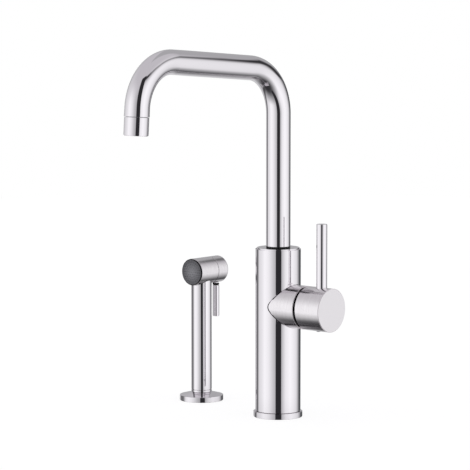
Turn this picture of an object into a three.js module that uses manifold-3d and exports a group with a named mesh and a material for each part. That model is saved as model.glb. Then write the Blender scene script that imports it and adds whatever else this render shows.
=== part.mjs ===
// Single-lever kitchen faucet with a bent tube spout and a separate side spray.
// Millimetres, +Z up. The origin is the column's axis on the deck, the spout reaches to -Y,
// the lever's hub points to +X and the side spray stands at -X.
import * as THREE from 'three';
import { mergeVertices } from 'three/addons/utils/BufferGeometryUtils.js';
import Module from 'manifold-3d';

const wasm = await Module();
wasm.setup();

// ---------------------------------------------------------------- sizes

// Clearances.
const FIT = 0.3; // between pieces that seat on, in or round each other
const SEAL_FIT = 0.15; // between an O-ring and its bore
const EDGE = 0.5; // chamfer on a visible edge
const THROUGH = 1; // how far a cutter runs past what it cuts

// Facets round a turned piece.
const ROUND = 36;
const ROUND_SMALL = 24;
const ROUND_TINY = 12;
const ROUND_SECTION = 6; // round an O-ring's or a wire's section
const BALL_STEPS = 5;
const SPRING_STEPS = 12; // along one turn

// Body and base ring.
const BODY_RADIUS = 25;
const BODY_WALL = 3;
const BODY_TOP = 188;
const BODY_TOP_PLATE = 4;
const RING_OVERHANG = 2.1;
const RING_HEIGHT = 6.3;
const GASKET_HEIGHT = 1.7;
const GASKET_WIDTH = 3.4;

// Mounting plug that closes the foot of the body.
const PLUG_RADIUS = 18;
const PLUG_FLANGE_HEIGHT = 8;
const PORT_RADIUS = 4.7;
const PORT_CIRCLE = 10.5;
const WATERWAY_RADIUS = 3.5;

// Hub and cartridge, along +X from the column's axis at this height.
const HUB_HEIGHT = 124.4;
const HUB_RADIUS = 23.96;
const HUB_WALL = 3.5;
const HUB_END = 40.1;
const CARTRIDGE_RADIUS = 17.5;
const CARTRIDGE_SEAT = 8;
const CARTRIDGE_END = 34;
const CARTRIDGE_LID = 2.4;
const SPOOL_RADIUS = 8;
const SPOOL_START = 12;
const SPOOL_TRAVEL = 4.7;
const STEM_RADIUS = 4.2;
const NECK_RADIUS = 3;
const BALL_RADIUS = 4.6;
const BALL_PLACE = 50.5;
const NUT_THICKNESS = 4.3;
const SPIGOT_RADIUS = 12.7;
const SPIGOT_LENGTH = 5.2;

// Lever handle: cap, pivot ring, rod and set screw.
const CAP_GAP = 3; // shadow gap between hub and cap
const CAP_FACE = 76.05;
const CAP_WALL = 2.2;
const CAP_FACE_THICKNESS = 3.5;
const PIVOT_RING_WIDTH = 3.8;
const TILT_AXIS_PLACE = 42.5;
const TILT_AXIS_INSET = 2.76; // inside the cap's bore
const TILT_PIN_RADIUS = 0.9;
const TILT_PIN_LENGTH = 11;
const KNUCKLE_RADIUS = 2.2;
const KNUCKLE_WIDTH = 5.6;
const ADAPTER_GAP = 2; // between the pivot ring and the adapter, for the tilt
const ROD_RADIUS = 5.9;
const ROD_PLACE = 61.8;
const ROD_TOP = 218;
const ROD_SOCKET_DEPTH = 9;
const SET_SCREW_RADIUS = 2.5;
const SET_SCREW_PLACE = 57.5;
const SET_SCREW_PROUD = 0.7;
const SET_SCREW_LENGTH = 6.6;
const HEX_KEY_RADIUS = 1.3;
const HEX_KEY_DEPTH = 2.2;

// Spout: a straight column, a rising top run and a short leg that leans out.
const TUBE_RADIUS = 13.42;
const TUBE_WALL = 1.2;
const COLUMN_CORNER = 383.4; // where the column's and the top run's centre lines cross
const TOP_RUN = 225.2; // centre line from that corner to the next one
const TOP_RISE = THREE.MathUtils.degToRad(5);
const LEG_LEAN = THREE.MathUtils.degToRad(4);
const COLUMN_BEND_RADIUS = 52.5;
const TIP_BEND_RADIUS = 50;
const LEG_LENGTH = 8.3;
const BEND_STEPS = 10;
const GLIDE_RING_HEIGHT = 0.9;
const GLIDE_RING_INSET = 0.1;
const SHANK_RADIUS = 10.6;
const SHANK_BORE = 7;
const SHANK_DEPTH = 27;
const SHANK_INSERT = 25;
const SNAP_RING_HEIGHT = 1.5;
const SNAP_RING_WIDTH = 2.6;
const SNAP_GROOVE_DEPTH = 0.9;
const O_RING_SECTION = 1;
const O_RING_PLACES = [9, 16]; // down from the body's top plate

// Diverter in the bottom of the spout's socket.
const DIVERTER_HEIGHT = 5;
const DIVERTER_BORE = 3;
const DIVERTER_SPRING_HEIGHT = 10;
const DIVERTER_SPRING_RADIUS = 7;
const DIVERTER_SPRING_WIRE = 0.6;
const DIVERTER_SPRING_TURNS = 4;

// Aerator on the spout's tip.
const SLEEVE_RADIUS = 13.09;
const SLEEVE_LENGTH = 19.7;
const SLEEVE_WALL = 1.8;
const SLEEVE_SEAM = 0.4;
const SLEEVE_LIP = 1.1;
const SLEEVE_LIP_WIDTH = 1.2;
const BUSH_INSERT = 10;
const BUSH_THREAD = 8;
const BUSH_BORE = 8.4;
const AERATOR_GASKET_HEIGHT = 1.2;
const SCREEN_HEIGHT = 0.8;

// Side spray: deck flange, hose end and handle tube.
const SPRAY_X = -136.5;
const SPRAY_Y = 26.6;
const FLANGE_RADIUS = 24.87;
const FLANGE_RIM = 6;
const FLANGE_RISE = 3.3;
const FLANGE_BORE = 10.2;
const BUSH_LINER_WALL = 1.3;
const HOSE_COLLAR_HEIGHT = 2.4;
const HOSE_SHANK_RADIUS = 8.3;
const HOSE_SHANK_TAPER = 0.7;
const HOSE_SHANK_END = 1.5;
const HOSE_BORE = 5;
const SWIVEL_LENGTH = 8;
const SWIVEL_RADIUS = 8;
const HANDLE_RADIUS = 11.65;
const HANDLE_WALL = 1.2;
const SWIVEL_BUSH_LENGTH = 11;

// Side spray's head, along -Y from the handle's axis at this height.
const HEAD_HEIGHT = 148.3;
const HEAD_RADIUS = 15.24;
const HEAD_WALL = 1.3;
const HEAD_FRONT = 16.8;
const HEAD_REAR = 30;
const HEAD_SEAM_PLACE = 13.3; // behind the handle's axis
const HEAD_SEAM = 0.4;
const FACE_THICKNESS = 4.2;
const FACE_LIP = 1.9; // covers the end of the shell
const FACE_ROUND = 1.8;
const FACE_SEAL_HEIGHT = 1;
const CORE_NECK_LENGTH = 26;
const CORE_BORE = 4;

// Trigger and valve plunger.
const TRIGGER_PLACE = 25.2; // behind the handle's axis
const TRIGGER_RADIUS = 3.8;
const TRIGGER_LENGTH = 35.4;
const TRIGGER_NECK_RADIUS = 2.4;
const TRIGGER_PIVOT_RISE = 8; // above the head's axis
const TRIGGER_BOSS_RADIUS = 3.4;
const TRIGGER_BOSS_WIDTH = 6;
const TRIGGER_TRAVEL = THREE.MathUtils.degToRad(7);
const TRIGGER_EAR_THICKNESS = 2.5;
const TRIGGER_EAR_WIDTH = 7;
const PIVOT_PIN_RADIUS = 1.5;
const BOOT_HEIGHT = 2.5;
const BOOT_CLEARANCE = 0.86; // below the head, for the trigger's tilt
const PLUNGER_RADIUS = 2;
const PLUNGER_GAP = 0.5; // from the trigger's neck, for its tilt
const POPPET_RADIUS = 3.4;
const POPPET_THICKNESS = 2.4;
const VALVE_SEAT_PLACE = 2; // behind the handle's axis

// ---------------------------------------------------------------- materials

const finish = (color, roughness, metalness) =>
  new THREE.MeshStandardMaterial({ color, roughness, metalness });
const chrome = () => finish(0xd9dadd, 0.08, 1);
const turnedSteel = () => finish(0xc9c9cb, 0.28, 1);
const brass = () => finish(0xb99a55, 0.35, 1);
const steel = () => finish(0x9b9ca0, 0.35, 1);
const castAlloy = () => finish(0xa9abad, 0.5, 1);
const blackPlastic = () => finish(0x1b1b1d, 0.5, 0);
const greyPlastic = () => finish(0x56575b, 0.45, 0);
const whitePlastic = () => finish(0xdedcd6, 0.5, 0);
const rubber = () => finish(0x141414, 0.8, 0);

// ---------------------------------------------------------------- shape helpers

// A solid turned about Z from a closed outline of [radius, height] points.
function turned(outline, segments = ROUND) {
  const points = outline.map(([radius, height]) => new THREE.Vector2(radius, height));
  if (THREE.ShapeUtils.area(points) < 0) points.reverse();
  points.push(points[0].clone());
  return new THREE.LatheGeometry(points, segments).rotateX(Math.PI / 2);
}

function disc(radius, bottom, top, segments) {
  const outline = [[0, bottom], [radius, bottom], [radius, top], [0, top]];
  return turnedOnAxis(outline, segments);
}

// A solid turned about Z from an outline that starts and ends on the axis, bottom first.
function turnedOnAxis(outline, segments = ROUND) {
  const points = outline.map(([radius, height]) => new THREE.Vector2(radius, height));
  return new THREE.LatheGeometry(points, segments).rotateX(Math.PI / 2);
}

function ring(outer, inner, bottom, top, segments) {
  return turned([[inner, bottom], [outer, bottom], [outer, top], [inner, top]], segments);
}

function box(width, depth, height, x, y, z) {
  return new THREE.BoxGeometry(width, depth, height).translate(x, y, z);
}

// An O-ring about Z: a round section swept round the ring.
function oRing(centreRadius, sectionRadius, height) {
  const section = [];
  for (let i = 0; i < ROUND_SECTION; i += 1) {
    const turn = (i / ROUND_SECTION) * 2 * Math.PI;
    section.push([
      centreRadius + sectionRadius * Math.cos(turn),
      height + sectionRadius * Math.sin(turn),
    ]);
  }
  return turned(section, ROUND_SMALL);
}

// Lay a piece that was made along +Z along +X or along -Y.
const alongX = (geometry) => geometry.rotateY(Math.PI / 2);
const alongFront = (geometry) => geometry.rotateX(Math.PI / 2);

function toManifold(geometry) {
  const bare = geometry.clone();
  bare.deleteAttribute('normal');
  bare.deleteAttribute('uv');
  const merged = mergeVertices(bare, 1e-4);
  const mesh = new wasm.Mesh({
    numProp: 3,
    vertProperties: new Float32Array(merged.attributes.position.array),
    triVerts: new Uint32Array(merged.index.array),
  });
  return new wasm.Manifold(mesh);
}

function toGeometry(solid) {
  const mesh = solid.getMesh();
  const geometry = new THREE.BufferGeometry();
  geometry.setAttribute('position', new THREE.BufferAttribute(mesh.vertProperties, 3));
  geometry.setIndex(new THREE.BufferAttribute(mesh.triVerts, 1));
  return geometry;
}

function cut(geometry, ...cutters) {
  const start = toManifold(geometry);
  return toGeometry(cutters.reduce((solid, cutter) => solid.subtract(toManifold(cutter)), start));
}

function join(geometry, ...others) {
  const start = toManifold(geometry);
  return toGeometry(others.reduce((solid, other) => solid.add(toManifold(other)), start));
}

function piece(name, geometry, material) {
  const mesh = new THREE.Mesh(geometry, material);
  mesh.name = name;
  return mesh;
}

// ---------------------------------------------------------------- derived places

const bodyBore = BODY_RADIUS - BODY_WALL;
const ringRadius = BODY_RADIUS + RING_OVERHANG;
const bodyBottom = RING_HEIGHT + FIT;
const plugTop = bodyBottom + PLUG_FLANGE_HEIGHT;
const plateUnderside = BODY_TOP - BODY_TOP_PLATE;
const socketRadius = SHANK_RADIUS + FIT;
const cartridgePocket = CARTRIDGE_RADIUS + FIT;
const capStart = HUB_END + CAP_GAP;
const capBore = HUB_RADIUS - CAP_WALL;
const tiltAxisDrop = capBore - TILT_AXIS_INSET;
const nutStart = CARTRIDGE_END + FIT;
const nutEnd = nutStart + NUT_THICKNESS;
const pivotRingStart = HUB_END + FIT;
const pivotRingEnd = pivotRingStart + PIVOT_RING_WIDTH;
const pivotRingRadius = capBore - FIT;
const adapterStart = pivotRingEnd + ADAPTER_GAP;
const adapterEnd = CAP_FACE - CAP_FACE_THICKNESS - FIT;
const adapterRadius = capBore - FIT;
const stemHole = STEM_RADIUS + FIT;
const tiltHole = TILT_PIN_RADIUS + FIT;
const tubeBore = TUBE_RADIUS - TUBE_WALL;
const tubeFoot = BODY_TOP + GLIDE_RING_HEIGHT + 2 * FIT;
const shankBottom = BODY_TOP - SHANK_DEPTH;
const diverterTop = shankBottom - FIT;
const diverterBottom = diverterTop - DIVERTER_HEIGHT;
const socketFloor = diverterBottom - DIVERTER_SPRING_HEIGHT - 2 * FIT;
const bootTop = HEAD_HEIGHT - HEAD_RADIUS - BOOT_CLEARANCE;
const triggerTop = bootTop - BOOT_HEIGHT - FIT;
const triggerBottom = triggerTop - TRIGGER_LENGTH;
const grooveHeight = 2 * O_RING_SECTION + 2 * SEAL_FIT;
const oRingCentre = socketRadius - SEAL_FIT - O_RING_SECTION;
const grooveFloor = oRingCentre - O_RING_SECTION - SEAL_FIT;

// Ports in the plug: hot and cold to the cartridge's side, the spray's at the back.
const portTurns = [Math.PI / 3, -Math.PI / 3, Math.PI];
const portPlaces = portTurns.map((turn) => [PORT_CIRCLE * Math.cos(turn), PORT_CIRCLE * Math.sin(turn)]);
const [hotPlace, coldPlace, sprayPlace] = portPlaces;

// ---------------------------------------------------------------- base

// Underside groove that holds a flat gasket flush with the deck.
function gasketGroove(middle) {
  const outer = middle + GASKET_WIDTH / 2 + FIT;
  const inner = middle - GASKET_WIDTH / 2 - FIT;
  return ring(outer, inner, -THROUGH, GASKET_HEIGHT + FIT);
}

function deckGasket(middle) {
  return ring(middle + GASKET_WIDTH / 2, middle - GASKET_WIDTH / 2, 0, GASKET_HEIGHT);
}

const ringGasketMiddle = (PLUG_RADIUS + ringRadius) / 2;

function baseRing() {
  const bore = PLUG_RADIUS + FIT;
  const blank = turned([
    [bore, 0],
    [ringRadius, 0],
    [ringRadius, RING_HEIGHT - EDGE],
    [ringRadius - EDGE, RING_HEIGHT],
    [bore, RING_HEIGHT],
  ]);
  return cut(blank, gasketGroove(ringGasketMiddle));
}

function mountingPlug() {
  const blank = turnedOnAxis([
    [0, 0],
    [PLUG_RADIUS, 0],
    [PLUG_RADIUS, bodyBottom],
    [bodyBore - FIT, bodyBottom],
    [bodyBore - FIT, plugTop],
    [0, plugTop],
  ]);
  const ports = portPlaces.map(([x, y]) =>
    disc(PORT_RADIUS, -THROUGH, plugTop + THROUGH, ROUND_TINY).translate(x, y, 0));
  return cut(blank, ...ports);
}

// Chromed shell: open at the foot, bored in the top for the spout's shank and in the side for
// the cartridge.
function bodyShell() {
  const blank = turned([
    [bodyBore, bodyBottom],
    [BODY_RADIUS, bodyBottom],
    [BODY_RADIUS, BODY_TOP - EDGE],
    [BODY_RADIUS - EDGE, BODY_TOP],
    [socketRadius, BODY_TOP],
    [socketRadius, plateUnderside],
    [bodyBore, plateUnderside],
  ]);
  const sideHole = alongX(disc(cartridgePocket + FIT, 0, BODY_RADIUS + THROUGH, ROUND_SMALL));
  return cut(blank, sideHole.translate(0, 0, HUB_HEIGHT));
}

// Brass waterway block inside the shell, with the cartridge's pocket, the spout's socket and the
// drilled ways between them.
function waterwayBlock() {
  const bottom = plugTop + FIT;
  const top = plateUnderside - FIT;
  const snapFloor = top - SNAP_RING_HEIGHT - FIT;
  const snapRecess = SHANK_RADIUS - SNAP_GROOVE_DEPTH + SNAP_RING_WIDTH + 2 * FIT;
  const pocketLength = BODY_RADIUS + THROUGH - CARTRIDGE_SEAT;
  const pocket = alongX(disc(cartridgePocket, 0, pocketLength, ROUND_SMALL));
  const pocketTop = HUB_HEIGHT + CARTRIDGE_RADIUS;
  const supply = ([x, y]) =>
    disc(WATERWAY_RADIUS, bottom - THROUGH, HUB_HEIGHT, ROUND_TINY).translate(x, y, 0);
  const outletPlace = CARTRIDGE_SEAT + WATERWAY_RADIUS / 2;
  return cut(
    disc(bodyBore - FIT, bottom, top),
    pocket.translate(CARTRIDGE_SEAT, 0, HUB_HEIGHT),
    disc(socketRadius, socketFloor, top + THROUGH, ROUND_SMALL),
    disc(snapRecess, snapFloor, top + THROUGH, ROUND_SMALL),
    supply(hotPlace),
    supply(coldPlace),
    disc(WATERWAY_RADIUS, pocketTop - WATERWAY_RADIUS, socketFloor + THROUGH, ROUND_TINY)
      .translate(outletPlace, 0, 0),
    disc(WATERWAY_RADIUS, bottom - THROUGH, socketFloor + THROUGH, ROUND_TINY)
      .translate(sprayPlace[0], sprayPlace[1], 0),
  );
}

function makeBase() {
  const base = new THREE.Group();
  base.add(
    piece('base_ring', baseRing(), chrome()),
    piece('base_gasket', deckGasket(ringGasketMiddle), rubber()),
    piece('mounting_plug', mountingPlug(), brass()),
    piece('body_shell', bodyShell(), chrome()),
    piece('waterway_block', waterwayBlock(), brass()),
  );
  return base;
}

// ---------------------------------------------------------------- hub and cartridge

// Sleeve whose inner end is saddle-cut to the body.
function hubSleeve() {
  const blank = turned([
    [HUB_RADIUS - HUB_WALL, 0],
    [HUB_RADIUS, 0],
    [HUB_RADIUS, HUB_END - EDGE],
    [HUB_RADIUS - EDGE, HUB_END],
    [HUB_RADIUS - HUB_WALL, HUB_END],
  ]);
  const body = disc(BODY_RADIUS + FIT, -2 * HUB_RADIUS, 2 * HUB_RADIUS);
  return cut(alongX(blank), body);
}

function cartridgeShell() {
  const start = CARTRIDGE_SEAT + FIT;
  const lid = CARTRIDGE_END - CARTRIDGE_LID;
  return alongX(turned([
    [SPOOL_RADIUS + FIT, start],
    [CARTRIDGE_RADIUS, start],
    [CARTRIDGE_RADIUS, CARTRIDGE_END],
    [stemHole, CARTRIDGE_END],
    [stemHole, lid],
    [SPOOL_RADIUS + FIT, lid],
  ], ROUND_SMALL));
}

function cartridgeNut() {
  const nutRadius = HUB_RADIUS - HUB_WALL - FIT;
  return alongX(turned([
    [stemHole, nutStart],
    [nutRadius, nutStart],
    [nutRadius, nutEnd],
    [SPIGOT_RADIUS, nutEnd],
    [SPIGOT_RADIUS, nutEnd + SPIGOT_LENGTH],
    [stemHole, nutEnd + SPIGOT_LENGTH],
  ], ROUND_SMALL));
}

const spoolEnd = CARTRIDGE_END - CARTRIDGE_LID - FIT - SPOOL_TRAVEL;
const spoolSealPlace = (SPOOL_START + spoolEnd) / 2;
const spoolSealCentre = SPOOL_RADIUS + FIT - SEAL_FIT - O_RING_SECTION;

// Valve spool with its stem and the ball that the handle pulls.
function cartridgeSpool() {
  const sealFloor = spoolSealCentre - O_RING_SECTION - SEAL_FIT;
  const outline = [
    [0, SPOOL_START],
    [SPOOL_RADIUS, SPOOL_START],
    [SPOOL_RADIUS, spoolSealPlace - grooveHeight / 2],
    [sealFloor, spoolSealPlace - grooveHeight / 2],
    [sealFloor, spoolSealPlace + grooveHeight / 2],
    [SPOOL_RADIUS, spoolSealPlace + grooveHeight / 2],
    [SPOOL_RADIUS, spoolEnd],
    [STEM_RADIUS, spoolEnd],
    [STEM_RADIUS, nutEnd + SPIGOT_LENGTH - FIT],
    [NECK_RADIUS, nutEnd + SPIGOT_LENGTH - FIT],
  ];
  const neckTurn = Math.asin(NECK_RADIUS / BALL_RADIUS);
  for (let i = 0; i <= BALL_STEPS; i += 1) {
    const turn = (Math.PI - neckTurn) * (1 - i / BALL_STEPS);
    const radius = i === BALL_STEPS ? 0 : BALL_RADIUS * Math.sin(turn);
    outline.push([radius, BALL_PLACE + BALL_RADIUS * Math.cos(turn)]);
  }
  return alongX(turnedOnAxis(outline, ROUND_SMALL));
}

function spoolSeal() {
  return alongX(oRing(spoolSealCentre, O_RING_SECTION, spoolSealPlace));
}

// ---------------------------------------------------------------- lever handle

// Round rod across the part, along Y, at a place in the hub's frame.
function crossRod(radius, length, x, z) {
  return alongFront(disc(radius, -length / 2, length / 2, ROUND_TINY)).translate(x, 0, z);
}

// Ring that turns on the nut's spigot and carries the tilt pin at its foot.
function pivotRing() {
  const blank = alongX(
    ring(pivotRingRadius, SPIGOT_RADIUS + FIT, pivotRingStart, pivotRingEnd));
  const notchFloor = tiltAxisDrop - KNUCKLE_RADIUS - 2 * FIT;
  const notchHeight = HUB_RADIUS - notchFloor;
  const notch = box(
    PIVOT_RING_WIDTH + 2 * THROUGH, KNUCKLE_WIDTH + 2 * FIT, notchHeight,
    (pivotRingStart + pivotRingEnd) / 2, 0, -notchFloor - notchHeight / 2);
  const pinHole = crossRod(tiltHole, TILT_PIN_LENGTH + 2 * FIT, TILT_AXIS_PLACE, -tiltAxisDrop);
  return cut(blank, notch, pinHole);
}

function tiltPin() {
  return crossRod(TILT_PIN_RADIUS, TILT_PIN_LENGTH, TILT_AXIS_PLACE, -tiltAxisDrop);
}

// Cap, open towards the hub, with holes for the rod on top and the set screw below.
function handleCap() {
  const blank = alongX(turnedOnAxis([
    [0, adapterEnd + FIT],
    [capBore, adapterEnd + FIT],
    [capBore, capStart],
    [HUB_RADIUS - EDGE, capStart],
    [HUB_RADIUS, capStart + EDGE],
    [HUB_RADIUS, CAP_FACE - EDGE],
    [HUB_RADIUS - EDGE, CAP_FACE],
    [0, CAP_FACE],
  ]));
  const rodHole = disc(ROD_RADIUS + FIT, 0, HUB_RADIUS + THROUGH, ROUND_SMALL);
  const screwHole = disc(SET_SCREW_RADIUS + FIT, -HUB_RADIUS - THROUGH, 0, ROUND_TINY);
  return cut(
    blank,
    rodHole.translate(ROD_PLACE, 0, 0),
    screwHole.translate(SET_SCREW_PLACE, 0, 0));
}

// Block clamped in the cap: holds the rod, pulls the spool's ball and hinges on the tilt pin.
function handleAdapter() {
  const knuckleLength = adapterStart - TILT_AXIS_PLACE + FIT;
  const body = join(
    alongX(disc(adapterRadius, adapterStart, adapterEnd)),
    crossRod(KNUCKLE_RADIUS, KNUCKLE_WIDTH, TILT_AXIS_PLACE, -tiltAxisDrop),
    box(
      knuckleLength, KNUCKLE_WIDTH, 2 * KNUCKLE_RADIUS - FIT,
      TILT_AXIS_PLACE + knuckleLength / 2, 0, -tiltAxisDrop));
  const neckSlotLength = BALL_PLACE - TILT_AXIS_PLACE;
  const slotFloor = KNUCKLE_RADIUS - tiltAxisDrop;
  const neckSlotDepth = HUB_RADIUS - slotFloor;
  const neckSlot = box(
    neckSlotLength, 2 * (NECK_RADIUS + FIT), neckSlotDepth,
    BALL_PLACE - neckSlotLength / 2, 0, HUB_RADIUS - neckSlotDepth / 2);
  const ballSlot = disc(BALL_RADIUS + FIT, slotFloor, HUB_RADIUS, ROUND_SMALL);
  const rodSocket = disc(
    ROD_RADIUS + FIT, adapterRadius - ROD_SOCKET_DEPTH, HUB_RADIUS, ROUND_SMALL);
  const screwTop = -HUB_RADIUS - SET_SCREW_PROUD + SET_SCREW_LENGTH + FIT;
  const screwSocket = disc(SET_SCREW_RADIUS + FIT, -HUB_RADIUS, screwTop, ROUND_TINY);
  return cut(
    body,
    neckSlot,
    ballSlot.translate(BALL_PLACE, 0, 0),
    rodSocket.translate(ROD_PLACE, 0, 0),
    screwSocket.translate(SET_SCREW_PLACE, 0, 0),
    crossRod(tiltHole, TILT_PIN_LENGTH, TILT_AXIS_PLACE, -tiltAxisDrop));
}

function leverRod() {
  const bottom = adapterRadius - ROD_SOCKET_DEPTH + FIT;
  const top = ROD_TOP - HUB_HEIGHT;
  return turnedOnAxis([
    [0, bottom],
    [ROD_RADIUS, bottom],
    [ROD_RADIUS, top - EDGE / 2],
    [ROD_RADIUS - EDGE / 2, top],
    [0, top],
  ], ROUND_SMALL).translate(ROD_PLACE, 0, 0);
}

function setScrew() {
  const outerEnd = -HUB_RADIUS - SET_SCREW_PROUD;
  const blank = disc(SET_SCREW_RADIUS, outerEnd, outerEnd + SET_SCREW_LENGTH, ROUND_TINY);
  const hexKey = disc(HEX_KEY_RADIUS, outerEnd - THROUGH, outerEnd + HEX_KEY_DEPTH, 6);
  return cut(blank, hexKey).translate(SET_SCREW_PLACE, 0, 0);
}

function makeHub() {
  const hub = new THREE.Group();
  hub.position.z = HUB_HEIGHT;
  hub.add(
    piece('hub_sleeve', hubSleeve(), turnedSteel()),
    piece('cartridge_shell', cartridgeShell(), whitePlastic()),
    piece('cartridge_nut', cartridgeNut(), brass()),
    piece('cartridge_spool', cartridgeSpool(), steel()),
    piece('spool_seal', spoolSeal(), rubber()),
    piece('pivot_ring', pivotRing(), blackPlastic()),
    piece('tilt_pin', tiltPin(), steel()),
    piece('handle_cap', handleCap(), turnedSteel()),
    piece('handle_adapter', handleAdapter(), castAlloy()),
    piece('lever_rod', leverRod(), chrome()),
    piece('set_screw', setScrew(), steel()),
  );
  return hub;
}

// ---------------------------------------------------------------- spout

// Centre line of the spout tube in the YZ plane. Its stations are spread so that the straight
// runs take one step each and the bends take BEND_STEPS each.
class SpoutPath extends THREE.Curve {
  constructor() {
    super();
    this.stations = spoutStations();
  }

  getPointAt(u, target = new THREE.Vector3()) {
    return target.copy(this.stations[Math.round(u * (this.stations.length - 1))].point);
  }

  getTangentAt(u, target = new THREE.Vector3()) {
    return target.copy(this.stations[Math.round(u * (this.stations.length - 1))].tangent);
  }
}

const front = (distance, height) => new THREE.Vector3(0, -distance, height);

// One bend: stations on an arc that leaves `along` at a corner and ends on `next`.
function bendStations(corner, along, next, radius) {
  const angle = along.angleTo(next);
  const tangentLength = radius * Math.tan(angle / 2);
  const start = corner.clone().addScaledVector(along, -tangentLength);
  const turnAxis = along.clone().cross(next).normalize();
  const centre = start.clone().addScaledVector(turnAxis.clone().cross(along), radius);
  const stations = [];
  for (let i = 0; i <= BEND_STEPS; i += 1) {
    const turn = (i / BEND_STEPS) * angle;
    const point = start.clone().sub(centre).applyAxisAngle(turnAxis, turn).add(centre);
    stations.push({ point, tangent: along.clone().applyAxisAngle(turnAxis, turn) });
  }
  return stations;
}

const up = front(0, 1);
const topRunWay = front(Math.cos(TOP_RISE), Math.sin(TOP_RISE));
const legWay = front(Math.sin(LEG_LEAN), -Math.cos(LEG_LEAN));

function spoutStations() {
  const columnCorner = front(0, COLUMN_CORNER);
  const tipCorner = columnCorner.clone().addScaledVector(topRunWay, TOP_RUN);
  const foot = { point: front(0, tubeFoot), tangent: up };
  const columnBend = bendStations(columnCorner, up, topRunWay, COLUMN_BEND_RADIUS);
  const tipBend = bendStations(tipCorner, topRunWay, legWay, TIP_BEND_RADIUS);
  const bendEnd = tipBend[tipBend.length - 1].point;
  const tip = { point: bendEnd.clone().addScaledVector(legWay, LEG_LENGTH), tangent: legWay };
  return [foot, ...columnBend, ...tipBend, tip];
}

function circlePath(radius, segments) {
  const path = new THREE.Path();
  for (let i = 0; i < segments; i += 1) {
    const turn = (i / segments) * 2 * Math.PI;
    const [x, y] = [radius * Math.cos(turn), radius * Math.sin(turn)];
    if (i === 0) path.moveTo(x, y);
    else path.lineTo(x, y);
  }
  path.closePath();
  return path;
}

function spoutTube() {
  const section = new THREE.Shape(circlePath(TUBE_RADIUS, ROUND_SMALL).getPoints());
  section.holes.push(circlePath(tubeBore, ROUND_SMALL));
  const path = new SpoutPath();
  return new THREE.ExtrudeGeometry(section, {
    steps: path.stations.length - 1,
    extrudePath: path,
    curveSegments: 1,
  });
}

// Brass shank: pressed in the tube's foot, it turns in the body's socket on two O-rings.
function spoutShank() {
  const seatTop = tubeFoot - FIT;
  const snapTop = plateUnderside - FIT;
  const snapBottom = snapTop - SNAP_RING_HEIGHT - 2 * FIT;
  const snapFloor = SHANK_RADIUS - SNAP_GROOVE_DEPTH;
  const outline = [[SHANK_BORE, shankBottom], [SHANK_RADIUS, shankBottom]];
  for (const place of [...O_RING_PLACES].reverse()) {
    const middle = plateUnderside - place;
    outline.push(
      [SHANK_RADIUS, middle - grooveHeight / 2],
      [grooveFloor, middle - grooveHeight / 2],
      [grooveFloor, middle + grooveHeight / 2],
      [SHANK_RADIUS, middle + grooveHeight / 2]);
  }
  outline.push(
    [SHANK_RADIUS, snapBottom],
    [snapFloor, snapBottom],
    [snapFloor, snapTop],
    [SHANK_RADIUS, snapTop],
    [SHANK_RADIUS, seatTop],
    [tubeBore - FIT, seatTop],
    [tubeBore - FIT, seatTop + SHANK_INSERT],
    [SHANK_BORE, seatTop + SHANK_INSERT]);
  return turned(outline, ROUND_SMALL);
}

function glideRing() {
  const bottom = BODY_TOP + FIT;
  return ring(
    TUBE_RADIUS - GLIDE_RING_INSET, socketRadius, bottom, bottom + GLIDE_RING_HEIGHT, ROUND);
}

// Split ring that keeps the shank in its socket.
function snapRing() {
  const inner = SHANK_RADIUS - SNAP_GROOVE_DEPTH + FIT;
  const top = plateUnderside - 2 * FIT;
  const whole = ring(inner + SNAP_RING_WIDTH, inner, top - SNAP_RING_HEIGHT, top, ROUND_SMALL);
  const split = box(
    2 * SNAP_RING_WIDTH + THROUGH, SNAP_RING_WIDTH, 2 * SNAP_RING_HEIGHT,
    inner + SNAP_RING_WIDTH / 2, 0, top - SNAP_RING_HEIGHT / 2);
  return cut(whole, split);
}

function shankSeal(place) {
  return oRing(oRingCentre, O_RING_SECTION, plateUnderside - place);
}

// ---------------------------------------------------------------- aerator, in the tip's frame

const threadRadius = SLEEVE_RADIUS - SLEEVE_WALL - FIT;
const threadEnd = -SLEEVE_SEAM - BUSH_THREAD;
const insertTop = threadEnd - AERATOR_GASKET_HEIGHT - 2 * FIT;
const insertBottom = -SLEEVE_LENGTH + SLEEVE_LIP + FIT;

function outletBush() {
  return turned([
    [BUSH_BORE, threadEnd],
    [threadRadius, threadEnd],
    [threadRadius, 0],
    [tubeBore - FIT, 0],
    [tubeBore - FIT, BUSH_INSERT],
    [BUSH_BORE, BUSH_INSERT],
  ], ROUND_SMALL);
}

function aeratorSleeve() {
  const bore = SLEEVE_RADIUS - SLEEVE_WALL;
  const top = -SLEEVE_SEAM;
  const bottom = -SLEEVE_LENGTH;
  return turned([
    [bore - SLEEVE_LIP_WIDTH, bottom],
    [SLEEVE_RADIUS - EDGE, bottom],
    [SLEEVE_RADIUS, bottom + EDGE],
    [SLEEVE_RADIUS, top],
    [bore, top],
    [bore, bottom + SLEEVE_LIP],
    [bore - SLEEVE_LIP_WIDTH, bottom + SLEEVE_LIP],
  ]);
}

function aeratorGasket() {
  return ring(threadRadius, BUSH_BORE, insertTop + FIT, threadEnd - FIT, ROUND_SMALL);
}

// Plastic cartridge with an open middle that the screen closes.
function aeratorInsert() {
  return ring(threadRadius, BUSH_BORE, insertBottom, insertTop, ROUND_SMALL);
}

function aeratorScreen() {
  return disc(BUSH_BORE - FIT, insertBottom, insertBottom + SCREEN_HEIGHT, ROUND_SMALL);
}

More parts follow.
